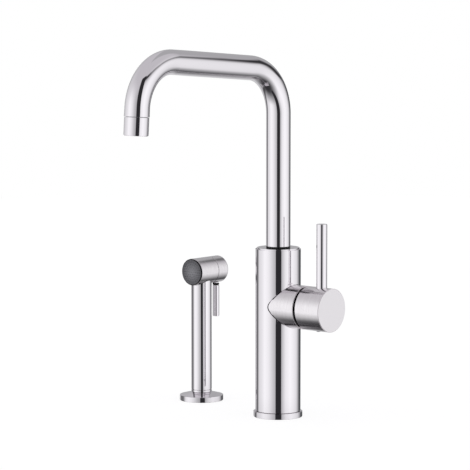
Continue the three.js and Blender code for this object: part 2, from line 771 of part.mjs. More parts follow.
function makeSpout() {
  const spout = new THREE.Group();
  const tip = new THREE.Group();
  const stations = spoutStations();
  tip.position.copy(stations[stations.length - 1].point);
  tip.rotation.x = -LEG_LEAN;
  tip.add(
    piece('outlet_bush', outletBush(), brass()),
    piece('aerator_sleeve', aeratorSleeve(), chrome()),
    piece('aerator_gasket', aeratorGasket(), rubber()),
    piece('aerator_insert', aeratorInsert(), whitePlastic()),
    piece('aerator_screen', aeratorScreen(), steel()),
  );
  spout.add(
    piece('spout_tube', spoutTube(), chrome()),
    piece('spout_shank', spoutShank(), brass()),
    piece('glide_ring', glideRing(), blackPlastic()),
    piece('snap_ring', snapRing(), steel()),
    tip,
  );
  O_RING_PLACES.forEach((place, i) => {
    spout.add(piece(`shank_seal_${i + 1}`, shankSeal(place), rubber()));
  });
  return spout;
}

// ---------------------------------------------------------------- diverter

function diverterPiston() {
  return ring(SHANK_RADIUS, DIVERTER_BORE, diverterBottom, diverterTop, ROUND_SMALL);
}

// Return spring between the socket's floor and the piston.
class SpringPath extends THREE.Curve {
  getPoint(t, target = new THREE.Vector3()) {
    const bottom = socketFloor + FIT + DIVERTER_SPRING_WIRE;
    const top = diverterBottom - FIT - DIVERTER_SPRING_WIRE;
    const turn = t * DIVERTER_SPRING_TURNS * 2 * Math.PI;
    return target.set(
      DIVERTER_SPRING_RADIUS * Math.cos(turn),
      DIVERTER_SPRING_RADIUS * Math.sin(turn),
      bottom + t * (top - bottom));
  }
}

function diverterSpring() {
  const wire = new THREE.Shape(circlePath(DIVERTER_SPRING_WIRE, ROUND_SECTION).getPoints());
  return new THREE.ExtrudeGeometry(wire, {
    steps: DIVERTER_SPRING_TURNS * SPRING_STEPS,
    extrudePath: new SpringPath(),
    curveSegments: 1,
  });
}

function makeDiverter() {
  const diverter = new THREE.Group();
  diverter.add(
    piece('diverter_piston', diverterPiston(), whitePlastic()),
    piece('diverter_spring', diverterSpring(), steel()),
  );
  return diverter;
}

// ---------------------------------------------------------------- side spray: holder and handle

const flangeTop = FLANGE_RIM + FLANGE_RISE;
const collarBottom = flangeTop + FIT;
const collarTop = collarBottom + HOSE_COLLAR_HEIGHT;
const handleBottom = collarTop + FIT;
const handleBore = HANDLE_RADIUS - HANDLE_WALL;
const linerBore = FLANGE_BORE - FIT - BUSH_LINER_WALL;
const flangeGasketMiddle = (FLANGE_BORE + FLANGE_RADIUS) / 2;

function sprayFlange() {
  const blank = turned([
    [FLANGE_BORE, 0],
    [FLANGE_RADIUS, 0],
    [FLANGE_RADIUS, FLANGE_RIM - EDGE],
    [FLANGE_RADIUS - EDGE, FLANGE_RIM],
    [HANDLE_RADIUS, flangeTop],
    [FLANGE_BORE, flangeTop],
  ]);
  return cut(blank, gasketGroove(flangeGasketMiddle));
}

function holderLiner() {
  return ring(FLANGE_BORE - FIT, linerBore, 0, flangeTop - FIT, ROUND_SMALL);
}

// Hose end: a collar that rests on the flange, a tapered shank below and a swivel spigot above.
function hoseEnd() {
  return turned([
    [HOSE_BORE, HOSE_SHANK_END],
    [HOSE_SHANK_RADIUS - HOSE_SHANK_TAPER, HOSE_SHANK_END],
    [HOSE_SHANK_RADIUS, collarBottom],
    [HANDLE_RADIUS, collarBottom],
    [HANDLE_RADIUS, collarTop],
    [SWIVEL_RADIUS, collarTop],
    [SWIVEL_RADIUS, collarTop + SWIVEL_LENGTH],
    [HOSE_BORE, collarTop + SWIVEL_LENGTH],
  ]);
}

function swivelBush() {
  return ring(
    handleBore - FIT, SWIVEL_RADIUS + FIT, handleBottom, handleBottom + SWIVEL_BUSH_LENGTH,
    ROUND_SMALL);
}

// Handle tube with its top saddle-cut to the head.
function handleTube() {
  const blank = ring(HANDLE_RADIUS, handleBore, handleBottom, HEAD_HEIGHT);
  const head = alongFront(disc(HEAD_RADIUS + FIT, -2 * HANDLE_RADIUS, 2 * HANDLE_RADIUS));
  return cut(blank, head.translate(0, 0, HEAD_HEIGHT));
}

// ---------------------------------------------------------------- side spray: head

const headBore = HEAD_RADIUS - HEAD_WALL;
const coreRadius = headBore - FIT;
const shellFront = HEAD_FRONT - FACE_LIP - FIT;
const coreFront = HEAD_FRONT - FACE_THICKNESS - FACE_SEAL_HEIGHT - 2 * FIT;
const coreRear = -HEAD_SEAM_PLACE + FIT;
const neckRadius = handleBore - FIT;

// Front section, with the hole that the core's neck passes.
function headShell() {
  const rear = -HEAD_SEAM_PLACE + HEAD_SEAM / 2;
  const blank = alongFront(turned([
    [headBore, rear],
    [HEAD_RADIUS, rear],
    [HEAD_RADIUS, shellFront - EDGE / 2],
    [HEAD_RADIUS - EDGE / 2, shellFront],
    [headBore, shellFront],
  ]));
  const neckHole = disc(neckRadius + FIT, -2 * HEAD_RADIUS, 0, ROUND_SMALL);
  return cut(blank, neckHole);
}

// Where the trigger's neck sits in the head's skin when it is squeezed.
const slotDrop = HEAD_RADIUS + TRIGGER_PIVOT_RISE;
const slotTravel = slotDrop * Math.sin(TRIGGER_TRAVEL);

// Ear that hangs from the roof of the rear section and carries one end of the pivot pin.
function triggerEar(side) {
  const middle = side * (TRIGGER_BOSS_WIDTH / 2 + FIT + TRIGGER_EAR_THICKNESS / 2);
  const roof = Math.sqrt(headBore ** 2 - middle ** 2) + HEAD_WALL / 2;
  const foot = TRIGGER_PIVOT_RISE - TRIGGER_BOSS_RADIUS;
  return box(
    TRIGGER_EAR_THICKNESS, TRIGGER_EAR_WIDTH, roof - foot, middle, TRIGGER_PLACE, (roof + foot) / 2);
}

// Rear section, closed behind, with the trigger's slot below.
function headRearCap() {
  const start = HEAD_SEAM_PLACE + HEAD_SEAM / 2;
  const blank = turnedOnAxis([
    [0, HEAD_REAR - HEAD_WALL],
    [headBore, HEAD_REAR - HEAD_WALL],
    [headBore, start],
    [HEAD_RADIUS, start],
    [HEAD_RADIUS, HEAD_REAR - 2 * EDGE],
    [HEAD_RADIUS - 2 * EDGE, HEAD_REAR],
    [0, HEAD_REAR],
  ]);
  const neckHole = disc(TRIGGER_NECK_RADIUS + FIT, -2 * HEAD_RADIUS, 0, ROUND_SMALL);
  const slotWay = box(
    2 * (TRIGGER_NECK_RADIUS + FIT), slotTravel, 2 * HEAD_RADIUS,
    0, TRIGGER_PLACE - slotTravel / 2, -HEAD_RADIUS);
  return cut(
    join(blank.rotateX(-Math.PI / 2), triggerEar(-1), triggerEar(1)),
    alongX(disc(PIVOT_PIN_RADIUS + FIT, -HEAD_RADIUS / 2, HEAD_RADIUS / 2, ROUND_TINY))
      .translate(0, TRIGGER_PLACE, TRIGGER_PIVOT_RISE),
    neckHole.clone().translate(0, TRIGGER_PLACE, 0),
    neckHole.translate(0, TRIGGER_PLACE - slotTravel, 0),
    slotWay);
}

// Plastic waterway inside the head, with a neck that goes down into the handle tube.
function headCore() {
  const barrel = alongFront(disc(coreRadius, coreRear, coreFront, ROUND_SMALL));
  const neck = disc(neckRadius, -CORE_NECK_LENGTH, 0, ROUND_SMALL);
  const riser = disc(CORE_BORE, -CORE_NECK_LENGTH - THROUGH, 0, ROUND_TINY);
  const way = alongFront(disc(CORE_BORE, -VALVE_SEAT_PLACE, coreFront + THROUGH, ROUND_TINY));
  const guideLength = -coreRear + THROUGH;
  const guide = alongFront(disc(PLUNGER_RADIUS + FIT, -guideLength, 0, ROUND_TINY));
  return cut(join(barrel, neck), riser, way, guide);
}

// Nozzle plate with a rounded lip that covers the end of the shell.
function sprayFace() {
  const back = HEAD_FRONT - FACE_THICKNESS;
  const lip = HEAD_FRONT - FACE_LIP;
  const corner = FACE_ROUND * (1 - Math.SQRT1_2);
  return alongFront(turnedOnAxis([
    [0, back],
    [headBore - FIT, back],
    [headBore - FIT, lip],
    [HEAD_RADIUS, lip],
    [HEAD_RADIUS, HEAD_FRONT - FACE_ROUND],
    [HEAD_RADIUS - corner, HEAD_FRONT - corner],
    [HEAD_RADIUS - FACE_ROUND, HEAD_FRONT],
    [0, HEAD_FRONT],
  ]));
}

function faceSeal() {
  const bottom = coreFront + FIT;
  return alongFront(ring(coreRadius, coreRadius - 2, bottom, bottom + FACE_SEAL_HEIGHT, ROUND_SMALL));
}

// ---------------------------------------------------------------- side spray: trigger and valve

// Finger rod below the head, its neck and its pivot boss, in the handle's frame.
function triggerRod() {
  const pivotHeight = HEAD_HEIGHT + TRIGGER_PIVOT_RISE;
  const rod = turnedOnAxis([
    [0, triggerBottom],
    [TRIGGER_RADIUS - EDGE / 2, triggerBottom],
    [TRIGGER_RADIUS, triggerBottom + EDGE / 2],
    [TRIGGER_RADIUS, triggerTop],
    [TRIGGER_NECK_RADIUS, triggerTop],
    [TRIGGER_NECK_RADIUS, pivotHeight],
    [0, pivotHeight],
  ], ROUND_SMALL);
  const pinAcross = (radius, length) =>
    alongX(disc(radius, -length / 2, length / 2, ROUND_TINY)).translate(0, 0, pivotHeight);
  return cut(
    join(rod, pinAcross(TRIGGER_BOSS_RADIUS, TRIGGER_BOSS_WIDTH)),
    pinAcross(PIVOT_PIN_RADIUS + FIT, TRIGGER_BOSS_WIDTH + 2 * THROUGH));
}

function triggerBoot() {
  const bottom = triggerTop + FIT;
  return ring(TRIGGER_RADIUS, TRIGGER_NECK_RADIUS + FIT, bottom, bottom + BOOT_HEIGHT, ROUND_SMALL);
}

// Pin as long as the boss and both ears.
function triggerPivotPin() {
  const half = TRIGGER_BOSS_WIDTH / 2 + FIT + TRIGGER_EAR_THICKNESS;
  return alongX(disc(PIVOT_PIN_RADIUS, -half, half, ROUND_TINY));
}

// Plunger that the trigger's neck pushes forward, with the poppet at its front end.
function valvePlunger() {
  const rear = TRIGGER_PLACE - TRIGGER_NECK_RADIUS - PLUNGER_GAP;
  const poppetRear = VALVE_SEAT_PLACE - FIT;
  return turnedOnAxis([
    [0, -rear],
    [PLUNGER_RADIUS, -rear],
    [PLUNGER_RADIUS, -poppetRear],
    [POPPET_RADIUS, -poppetRear],
    [POPPET_RADIUS, -poppetRear + POPPET_THICKNESS],
    [0, -poppetRear + POPPET_THICKNESS],
  ], ROUND_TINY);
}

function makeHead() {
  const head = new THREE.Group();
  head.position.z = HEAD_HEIGHT;
  const pivotPin = piece('trigger_pivot_pin', triggerPivotPin(), steel());
  pivotPin.position.set(0, TRIGGER_PLACE, TRIGGER_PIVOT_RISE);
  head.add(
    piece('head_shell', headShell(), turnedSteel()),
    piece('head_rear_cap', headRearCap(), turnedSteel()),
    piece('head_core', headCore(), greyPlastic()),
    piece('spray_face', sprayFace(), greyPlastic()),
    piece('face_seal', faceSeal(), rubber()),
    piece('valve_plunger', alongFront(valvePlunger()), brass()),
    pivotPin,
  );
  return head;
}

function makeSpray() {
  const spray = new THREE.Group();
  spray.position.set(SPRAY_X, SPRAY_Y, 0);
  const trigger = new THREE.Group();
  trigger.position.y = TRIGGER_PLACE;
  trigger.add(
    piece('trigger_rod', triggerRod(), chrome()),
    piece('trigger_boot', triggerBoot(), rubber()),
  );
  spray.add(
    piece('spray_flange', sprayFlange(), chrome()),
    piece('flange_gasket', deckGasket(flangeGasketMiddle), rubber()),
    piece('holder_liner', holderLiner(), blackPlastic()),
    piece('hose_end', hoseEnd(), chrome()),
    piece('swivel_bush', swivelBush(), blackPlastic()),
    piece('handle_tube', handleTube(), chrome()),
    makeHead(),
    trigger,
  );
  return spray;
}

// ---------------------------------------------------------------- the faucet

const faucet = new THREE.Group();
faucet.add(makeBase(), makeHub(), makeSpout(), makeDiverter(), makeSpray());

export default faucet;
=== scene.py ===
# The looks of a single-lever kitchen faucet with a side spray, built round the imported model.
# Metres, +Z up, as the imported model: the column stands on the origin, the spout reaches to -Y,
# the lever's hub points to +X and the side spray stands at -X. Outlines are in millimetres.
import math

import bmesh
import bpy
from mathutils import Matrix, Vector


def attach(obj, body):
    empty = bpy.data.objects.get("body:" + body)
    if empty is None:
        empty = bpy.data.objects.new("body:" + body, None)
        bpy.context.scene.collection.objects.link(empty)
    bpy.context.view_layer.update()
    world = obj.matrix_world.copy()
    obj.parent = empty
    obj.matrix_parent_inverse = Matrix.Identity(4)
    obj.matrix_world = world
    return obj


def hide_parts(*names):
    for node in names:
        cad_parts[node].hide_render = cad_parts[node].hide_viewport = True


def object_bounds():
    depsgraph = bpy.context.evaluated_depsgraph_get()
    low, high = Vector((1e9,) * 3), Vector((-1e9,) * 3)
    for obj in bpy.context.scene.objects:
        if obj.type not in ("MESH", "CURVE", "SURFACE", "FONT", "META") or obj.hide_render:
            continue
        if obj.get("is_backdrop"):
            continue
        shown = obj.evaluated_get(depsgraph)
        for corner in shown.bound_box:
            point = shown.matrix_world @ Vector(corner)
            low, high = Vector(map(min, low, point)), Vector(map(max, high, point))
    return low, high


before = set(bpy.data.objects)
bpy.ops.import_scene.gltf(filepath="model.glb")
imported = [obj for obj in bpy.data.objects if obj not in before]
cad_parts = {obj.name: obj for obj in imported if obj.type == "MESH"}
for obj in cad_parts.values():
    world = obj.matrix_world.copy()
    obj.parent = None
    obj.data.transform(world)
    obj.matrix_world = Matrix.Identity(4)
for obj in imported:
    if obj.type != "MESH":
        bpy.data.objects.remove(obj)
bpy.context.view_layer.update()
MM = 0.001

# ------------------------------------------------------------------ camera
# A long lens, 3.2 m away and 6 degrees above the deck, turned half way between the spout's side
# and the lever's side. The eye's place is in millimetres, and the sight is the way it looks.
EYE = (2038.5, -2433.6, 554.8)
SIGHT = Vector((-0.64954, 0.75224, -0.11058))
LENS = 222.24

camera_data = bpy.data.cameras.new("camera")
camera_data.lens = LENS
camera_data.sensor_width = 36
camera = bpy.data.objects.new("camera", camera_data)
bpy.context.scene.collection.objects.link(camera)
camera.location = Vector(EYE) * MM
camera.rotation_mode = "QUATERNION"
camera.rotation_quaternion = SIGHT.to_track_quat("-Z", "Y")
bpy.context.scene.camera = camera
bpy.context.scene.view_settings.view_transform = "Standard"


# ------------------------------------------------------------------ studio
# Two wide softboxes stand left and right of the camera, with dark strips where they end, under a
# grey ceiling and before a grey wall. Metal shows them; the eye sees only a white backdrop.
def linear(colour):
    """An sRGB hex colour as the linear values that a shader takes."""
    channels = [int(colour[i:i + 2], 16) / 255 for i in (1, 3, 5)]
    return [c / 12.92 if c <= 0.04045 else ((c + 0.055) / 1.055) ** 2.4 for c in channels] + [1]


def add(tree, kind, settings=(), inputs=()):
    """Adds a node with its own settings. Each input is set to a value or linked to an output."""
    made = tree.nodes.new(kind)
    for name, value in dict(settings).items():
        setattr(made, name, value)
    for name, value in dict(inputs).items():
        if isinstance(value, bpy.types.NodeSocket):
            tree.links.new(value, made.inputs[name])
        else:
            made.inputs[name].default_value = value
    return made


# Tone of the studio by the angle from the camera, left negative, at the height of the eye.
STUDIO = (
    (-180, "#A6A6A8"), (-150, "#B4B4B6"), (-130, "#CCCCCE"), (-110, "#DADADC"), (-92, "#E4E4E6"),
    (-73, "#F6F6F8"), (-54, "#EEEEF0"), (-42, "#E2E2E4"), (-31, "#D0D0D2"), (-20, "#BCBCBE"),
    (0, "#A0A0A2"), (18, "#B4B4B6"), (28, "#D4D4D6"), (38, "#EAEAEC"), (64, "#F8F8FA"),
    (90, "#EAEAEC"), (106, "#DCDCDE"), (119, "#B0B0B2"), (129, "#7C7C7E"), (138, "#484A4C"),
    (156, "#484A4C"), (168, "#9A9A9C"), (180, "#A6A6A8"),
)
LEVEL = 1.13  # how bright the room is, beside the white that the eye sees
CAMERA_TURN = math.atan2(-SIGHT.y, -SIGHT.x)

world = bpy.data.worlds.new("studio")
bpy.context.scene.world = world
world.use_nodes = True
tree = world.node_tree
tree.nodes.clear()
direction = add(tree, "ShaderNodeTexCoord").outputs["Generated"]
turned_direction = add(tree, "ShaderNodeMapping", {"vector_type": "VECTOR"},
                       {"Vector": direction, "Rotation": (0, 0, -CAMERA_TURN)})
parts = add(tree, "ShaderNodeSeparateXYZ", inputs={"Vector": turned_direction.outputs["Vector"]})
angle = add(tree, "ShaderNodeMath", {"operation": "ARCTAN2"},
            {0: parts.outputs["Y"], 1: parts.outputs["X"]}).outputs[0]
rise = add(tree, "ShaderNodeMath", {"operation": "ARCSINE"}, {0: parts.outputs["Z"]}).outputs[0]
fall = add(tree, "ShaderNodeMath", {"operation": "MULTIPLY"}, {0: rise, 1: -1}).outputs[0]
away = add(tree, "ShaderNodeMath", {"operation": "ABSOLUTE"}, {0: angle}).outputs[0]
turn_share = add(tree, "ShaderNodeMath", {"operation": "MULTIPLY_ADD"},
                 {0: angle, 1: 0.5 / math.pi, 2: 0.5})
strips = add(tree, "ShaderNodeValToRGB", inputs={"Fac": turn_share.outputs[0]})
tones = strips.color_ramp.elements
tones.remove(tones[0])
tones[0].color = linear(STUDIO[-1][1])
for degrees, tone in STUDIO[:-1]:
    tones.new(degrees / 360 + 0.5).color = linear(tone)

# The room's other surfaces, each laid over the ones before it: its tone, and the two angles in
# degrees between which it comes in, by turn from the camera, rise above the eye or fall below it.
ROOM = (
    ("#BCBABE", ((rise, 6, 54),)),  # ceiling
    ("#A4A4A6", ((angle, 126, 140), (rise, 4, 16))),  # wall behind, on the right
    ("#C6C6C8", ((away, 142, 160), (fall, 8, 20))),  # far end of the table
    ("#6C6C6E", ((fall, 24, 75),)),  # table below
)
room = strips.outputs["Color"]
for tone, limits in ROOM:
    share = 1
    for value, low, high in limits:
        step = add(tree, "ShaderNodeMapRange", {"interpolation_type": "SMOOTHSTEP"},
                   {"Value": value, "From Min": math.radians(low), "From Max": math.radians(high)})
        share = add(tree, "ShaderNodeMath", {"operation": "MULTIPLY"},
                    {0: share, 1: step.outputs["Result"]}).outputs[0]
    room = add(tree, "ShaderNodeMix", {"data_type": "RGBA"},
               {"Factor": share, 6: room, 7: linear(tone)}).outputs[2]

rays = add(tree, "ShaderNodeLightPath")
seen = add(tree, "ShaderNodeMix", {"data_type": "RGBA"},
           {"Factor": rays.outputs["Is Camera Ray"], 6: room, 7: (1, 1, 1, 1)})
strength = add(tree, "ShaderNodeMapRange",
               inputs={"Value": rays.outputs["Is Camera Ray"], "To Min": LEVEL, "To Max": 1})
shine = add(tree, "ShaderNodeBackground",
            inputs={"Color": seen.outputs[2], "Strength": strength.outputs["Result"]})
add(tree, "ShaderNodeOutputWorld", inputs={"Surface": shine.outputs["Background"]})


def new_object(name, mesh):
    """Adds an object that shows the mesh."""
    made = bpy.data.objects.new(name, mesh)
    bpy.context.scene.collection.objects.link(made)
    return made


CARD_BLACK = "#2D2C2F"


def card(name, corners, faces):
    """A dark part of the studio that only metal shows: the eye and the lights pass through it.
    A corner is metres towards the camera, to its right and up, and how much it hides."""
    level = Vector((-SIGHT.x, -SIGHT.y, 0)).normalized()
    aside = Vector((-level.y, level.x, 0))
    mesh = bpy.data.meshes.new(name)
    mesh.from_pydata(
        [level * near + aside * right + Vector((0, 0, up)) for near, right, up, _ in corners],
        [], faces)
    hides = mesh.attributes.new("hides", "FLOAT", "POINT")
    hides.data.foreach_set("value", [corner[3] for corner in corners])
    made = new_object(name, mesh)
    material = bpy.data.materials.new(name)
    material.use_nodes = True
    tree = material.node_tree
    tree.nodes.clear()
    share = add(tree, "ShaderNodeAttribute", {"attribute_name": "hides"})
    clear = add(tree, "ShaderNodeBsdfTransparent")
    black = add(tree, "ShaderNodeEmission", inputs={"Color": linear(CARD_BLACK)})
    surface = add(tree, "ShaderNodeMixShader",
                  inputs={0: share.outputs["Fac"], 1: clear.outputs[0], 2: black.outputs[0]})
    add(tree, "ShaderNodeOutputMaterial", inputs={"Surface": surface.outputs[0]})
    mesh.materials.append(material)
    made.visible_camera = False
    made.visible_diffuse = False
    made.visible_shadow = False
    made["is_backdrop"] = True


def grid(columns, rows):
    """The faces of a card whose corners come column by column."""
    return [(i * rows + j, (i + 1) * rows + j, (i + 1) * rows + j + 1, i * rows + j + 1)
            for i in range(columns - 1) for j in range(rows - 1)]


# The dark slot between the softboxes that the camera looks through.
SLOT_DISTANCE = 0.8
SLOT_MIDDLE = 0.015
SLOT_HALF_WIDTH = 0.185
SLOT_SOFT = 0.035
SLOT_FOOT = -1.5
SLOT_HEAD = 1.2
slot_columns = [(-SLOT_HALF_WIDTH - SLOT_SOFT, 0), (-SLOT_HALF_WIDTH, 1), (SLOT_HALF_WIDTH, 1),
                (SLOT_HALF_WIDTH + SLOT_SOFT, 0)]
card("studio_slot",
     [(SLOT_DISTANCE, SLOT_MIDDLE + right, up, hides)
      for right, hides in slot_columns for up in (SLOT_FOOT, SLOT_HEAD)],
     grid(len(slot_columns), 2))

# The dark gap above the right softbox: a band that bends round the object from the slot to the
# back. Each entry is its angle, its lowest and highest point and how dark it is there; the edge
# gives shares of that from its foot to its head.
RAIL_RADIUS = 0.62
RAIL = ((2, 0.68, 0.95, 1), (12, 0.66, 0.95, 1), (24, 0.66, 0.95, 1), (36, 0.62, 0.95, 0.7),
        (60, 0.6, 0.92, 0.6), (84, 0.6, 0.92, 0.6), (98, 0.6, 0.92, 0.7), (110, 0.62, 0.92, 0.8),
        (118, 0.7, 0.92, 0.65), (128, 0.74, 0.92, 0))
RAIL_EDGE = ((0, 0), (0.3, 0.3), (0.52, 1), (0.7, 1), (1, 0))
rail = []
for degrees, low, high, hides in RAIL:
    spin = math.radians(degrees)
    for share, depth in RAIL_EDGE:
        rail.append((RAIL_RADIUS * math.cos(spin), RAIL_RADIUS * math.sin(spin),
                     low + (high - low) * share, hides * depth))
card("studio_rail", rail, grid(len(RAIL), len(RAIL_EDGE)))


def bent_card(name, near, right, radius, columns, rows):
    """A card bent round a point. A column is its angle and how dark it is; a row is its height,
    its share of that and how far it is turned."""
    corners = []
    for degrees, hides in columns:
        for up, share, turn in rows:
            spin = math.radians(degrees + turn)
            corners.append((near + radius * math.cos(spin), right + radius * math.sin(spin),
                            up, hides * share))
    card(name, corners, grid(len(columns), len(rows)))


# A black strip close behind on the right draws the dark line round the bend above the column.
STRIP_RADIUS = 0.2
STRIP_COLUMNS = ((86, 0), (98, 0.22), (106, 0.6), (113, 0.97), (130, 0.97), (136, 0.7), (148, 0))
STRIP_ROWS = ((0.395, 0, 3), (0.41, 1, 3), (0.44, 1, 2), (0.465, 1, 0), (0.48, 1, -5),
              (0.51, 1, -8), (0.55, 1, -6), (0.58, 0, -6))
bent_card("studio_strip", 0, 0, STRIP_RADIUS, STRIP_COLUMNS, STRIP_ROWS)

# A narrow grey batten behind the side spray draws the thin dark line along its head.
BATTEN_NEAR = -0.109
BATTEN_RIGHT = -0.086
BATTEN_RADIUS = 0.25
BATTEN_COLUMNS = ((112, 0), (120, 0.13), (128, 0.44), (137, 0.65), (147, 0.56), (156, 0.1),
                  (162, 0))
BATTEN_ROWS = ((0.3, 0, 0), (0.33, 1, 0), (0.39, 1, 0), (0.41, 0, 0))
bent_card("studio_batten", BATTEN_NEAR, BATTEN_RIGHT, BATTEN_RADIUS, BATTEN_COLUMNS, BATTEN_ROWS)

# A narrow black flag that stands close by on the left: it draws the dark line down the left edge
# of the column, the body and the side spray.
FLAG_NEAR = -0.1735
FLAG_RIGHT = -0.2068
FLAG_HALF_WIDTH = 0.048
FLAG_FOOT = -0.15
FLAG_HEAD = 0.42
FLAG_COLUMNS = ((-1, 0), (-0.5, 0.8), (0.75, 0.8), (2, 0))
across = Vector((-FLAG_RIGHT, FLAG_NEAR)).normalized() * FLAG_HALF_WIDTH
card("studio_flag",
     [(FLAG_NEAR + across.x * side, FLAG_RIGHT + across.y * side, up, hides)
      for side, hides in FLAG_COLUMNS for up in (FLAG_FOOT, FLAG_HEAD)],
     grid(len(FLAG_COLUMNS), 2))

# Painted shade: a dark sheet below the deck that stands in for the shadow on the table round the
# faucet's foot, as metal that looks down shows it.
SHADE_DEPTH = 0.1
SHADE_RINGS = ((0.01, 0.95), (0.12, 0.92), (0.18, 0.78), (0.24, 0.5), (0.34, 0.3), (0.5, 0.18),
               (0.64, 0.07), (0.76, 0))
SHADE_STEPS = 48
shade = []
for i in range(SHADE_STEPS + 1):
    spin = 2 * math.pi * i / SHADE_STEPS
    for radius, hides in SHADE_RINGS:
        shade.append((radius * math.cos(spin), radius * math.sin(spin), -SHADE_DEPTH, hides))
card("studio_shade", shade, grid(SHADE_STEPS + 1, len(SHADE_RINGS)))

# The white deck: it takes a soft shadow, and metal doesn't mirror it. From below it is clear, so
# that the underside can be looked at.
DECK_RADIUS = 2.5
DECK_DROP = 0.00002
DECK_SHADE = 0.35
DECK_GLOW = 1.28
DECK_WHITE = "#F0F0F0"
deck_shape = bmesh.new()
bmesh.ops.create_circle(deck_shape, cap_ends=True, segments=96, radius=DECK_RADIUS)
deck_mesh = bpy.data.meshes.new("deck")
deck_shape.to_mesh(deck_mesh)
deck_shape.free()
deck = new_object("deck", deck_mesh)
deck.location.z = -DECK_DROP
deck.visible_glossy = False
deck_white = bpy.data.materials.new("deck_white")
deck_white.use_nodes = True
tree = deck_white.node_tree
tree.nodes.clear()
matt = add(tree, "ShaderNodeBsdfDiffuse", inputs={"Color": linear(DECK_WHITE)})
glow = add(tree, "ShaderNodeEmission", inputs={"Color": (1, 1, 1, 1), "Strength": DECK_GLOW})
rays = add(tree, "ShaderNodeLightPath")
share = add(tree, "ShaderNodeMath", {"operation": "MULTIPLY"},
            {0: rays.outputs["Is Camera Ray"], 1: 1 - DECK_SHADE})
top_side = add(tree, "ShaderNodeMixShader",
               inputs={0: share.outputs[0], 1: matt.outputs[0], 2: glow.outputs[0]})
clear = add(tree, "ShaderNodeBsdfTransparent")
face = add(tree, "ShaderNodeNewGeometry")
both = add(tree, "ShaderNodeMixShader",
           inputs={0: face.outputs["Backfacing"], 1: top_side.outputs[0], 2: clear.outputs[0]})
add(tree, "ShaderNodeOutputMaterial", inputs={"Surface": both.outputs[0]})
deck_mesh.materials.append(deck_white)
deck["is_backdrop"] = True

# ------------------------------------------------------------------ base ring
# Flat ring of chromed brass between the deck and the body, turned with a small round on its rim
# and a groove below for the gasket.
ROUND_STEPS = 144
ARC_STEPS = 5
SUPPORT = 0.15
ON_AXIS = 0.000001
SMOOTH_BELOW = math.radians(35)


def rounded(outline):
    """The outline with an arc at each corner that gives a radius, and a point beside each arc's
    ends, so that the faces next to it still shade flat."""
    points = []
    for i, (radius, height, *arc) in enumerate(outline):
        corner = Vector((radius, height))
        if not arc:
            points.append(corner)
            continue
        back = Vector(outline[i - 1][:2]) - corner
        on = Vector(outline[(i + 1) % len(outline)][:2]) - corner
        turn = math.pi - back.angle(on)
        reach = arc[0] * math.tan(turn / 2)
        spare = min(SUPPORT, (min(back.length, on.length) - reach) / 3)
        back.normalize()
        on.normalize()
        centre = corner + (back + on).normalized() * arc[0] / math.cos(turn / 2)
        start = corner + back * reach - centre
        way = 1 if start.cross(on) > 0 else -1
        points.append(corner + back * (reach + spare))
        for step in range(ARC_STEPS + 1):
            spin = Matrix.Rotation(way * turn * step / ARC_STEPS, 2)
            points.append(centre + spin @ start)
        points.append(corner + on * (reach + spare))
    return points


def smooth(piece):
    """Smooth shading, with the edges of real corners kept sharp."""
    piece.data.shade_smooth()
    piece.data.set_sharp_from_angle(angle=SMOOTH_BELOW)
    return piece


def revolved(name, outline, place=Matrix(), segments=ROUND_STEPS):
    """A piece turned about its own Z from an outline of (radius, height[, corner radius]). The
    outline is closed, or it starts and ends on the axis."""
    shape = bmesh.new()
    rings = []
    for point in rounded(outline):
        if point.x < ON_AXIS:
            rings.append([shape.verts.new((0, 0, point.y * MM))] * segments)
            continue
        rings.append([
            shape.verts.new((point.x * MM * math.cos(spin), point.x * MM * math.sin(spin),
                             point.y * MM))
            for spin in (2 * math.pi * i / segments for i in range(segments))])
    pairs = list(zip(rings, rings[1:]))
    if outline[0][0] > ON_AXIS:
        pairs.append((rings[-1], rings[0]))
    for low, high in pairs:
        for i in range(segments):
            j = (i + 1) % segments
            corners = dict.fromkeys((low[i], low[j], high[j], high[i]))
            shape.faces.new(list(corners))
    bmesh.ops.recalc_face_normals(shape, faces=shape.faces)
    mesh = bpy.data.meshes.new(name)
    shape.to_mesh(mesh)
    shape.free()
    made = new_object(name, mesh)
    made.matrix_world = place
    return smooth(made)


def fitted(piece, material, body, node):
    """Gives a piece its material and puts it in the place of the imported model's node."""
    piece.data.materials.clear()
    piece.data.materials.append(material)
    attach(piece, body)
    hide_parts(node)


def new_material(name, inputs):
    """A material whose one Principled shader has the plain finish's values, which a pattern may
    then vary, and its tree, shader and object coordinates."""
    made = bpy.data.materials.new(name)
    made.use_nodes = True
    made.node_tree.nodes.clear()
    surface = add(made.node_tree, "ShaderNodeBsdfPrincipled", inputs=inputs)
    add(made.node_tree, "ShaderNodeOutputMaterial", inputs={"Surface": surface.outputs[0]})
    place = add(made.node_tree, "ShaderNodeTexCoord").outputs["Object"]
    return made, made.node_tree, surface, place


# Bright chromium plate on polished brass: a clean and nearly neutral mirror, whose gloss varies
# a little in soft patches some 20 mm wide, with a faint 5 mm ripple from the polishing.
PATCH_SIZE = 20
RIPPLE_SIZE = 5
RIPPLE_DEPTH = 0.0012
NOISE_LOW = 0.3  # nearly all of a noise pattern lies between these two
NOISE_HIGH = 0.7
chrome, tree, surface, place = new_material(
    "polished_chromium_plate",
    {"Base Color": linear("#F3F0F3"), "Metallic": 1, "Roughness": 0.05})
patches = add(tree, "ShaderNodeTexNoise", inputs={"Vector": place, "Scale": 1 / (PATCH_SIZE * MM)})
gloss = add(tree, "ShaderNodeMapRange",
            inputs={"Value": patches.outputs["Fac"], "From Min": NOISE_LOW,
                    "From Max": NOISE_HIGH, "To Min": 0.02, "To Max": 0.05})
tree.links.new(gloss.outputs["Result"], surface.inputs["Roughness"])
ripple = add(tree, "ShaderNodeTexNoise",
             inputs={"Vector": place, "Scale": 1 / (RIPPLE_SIZE * MM), "Detail": 1})
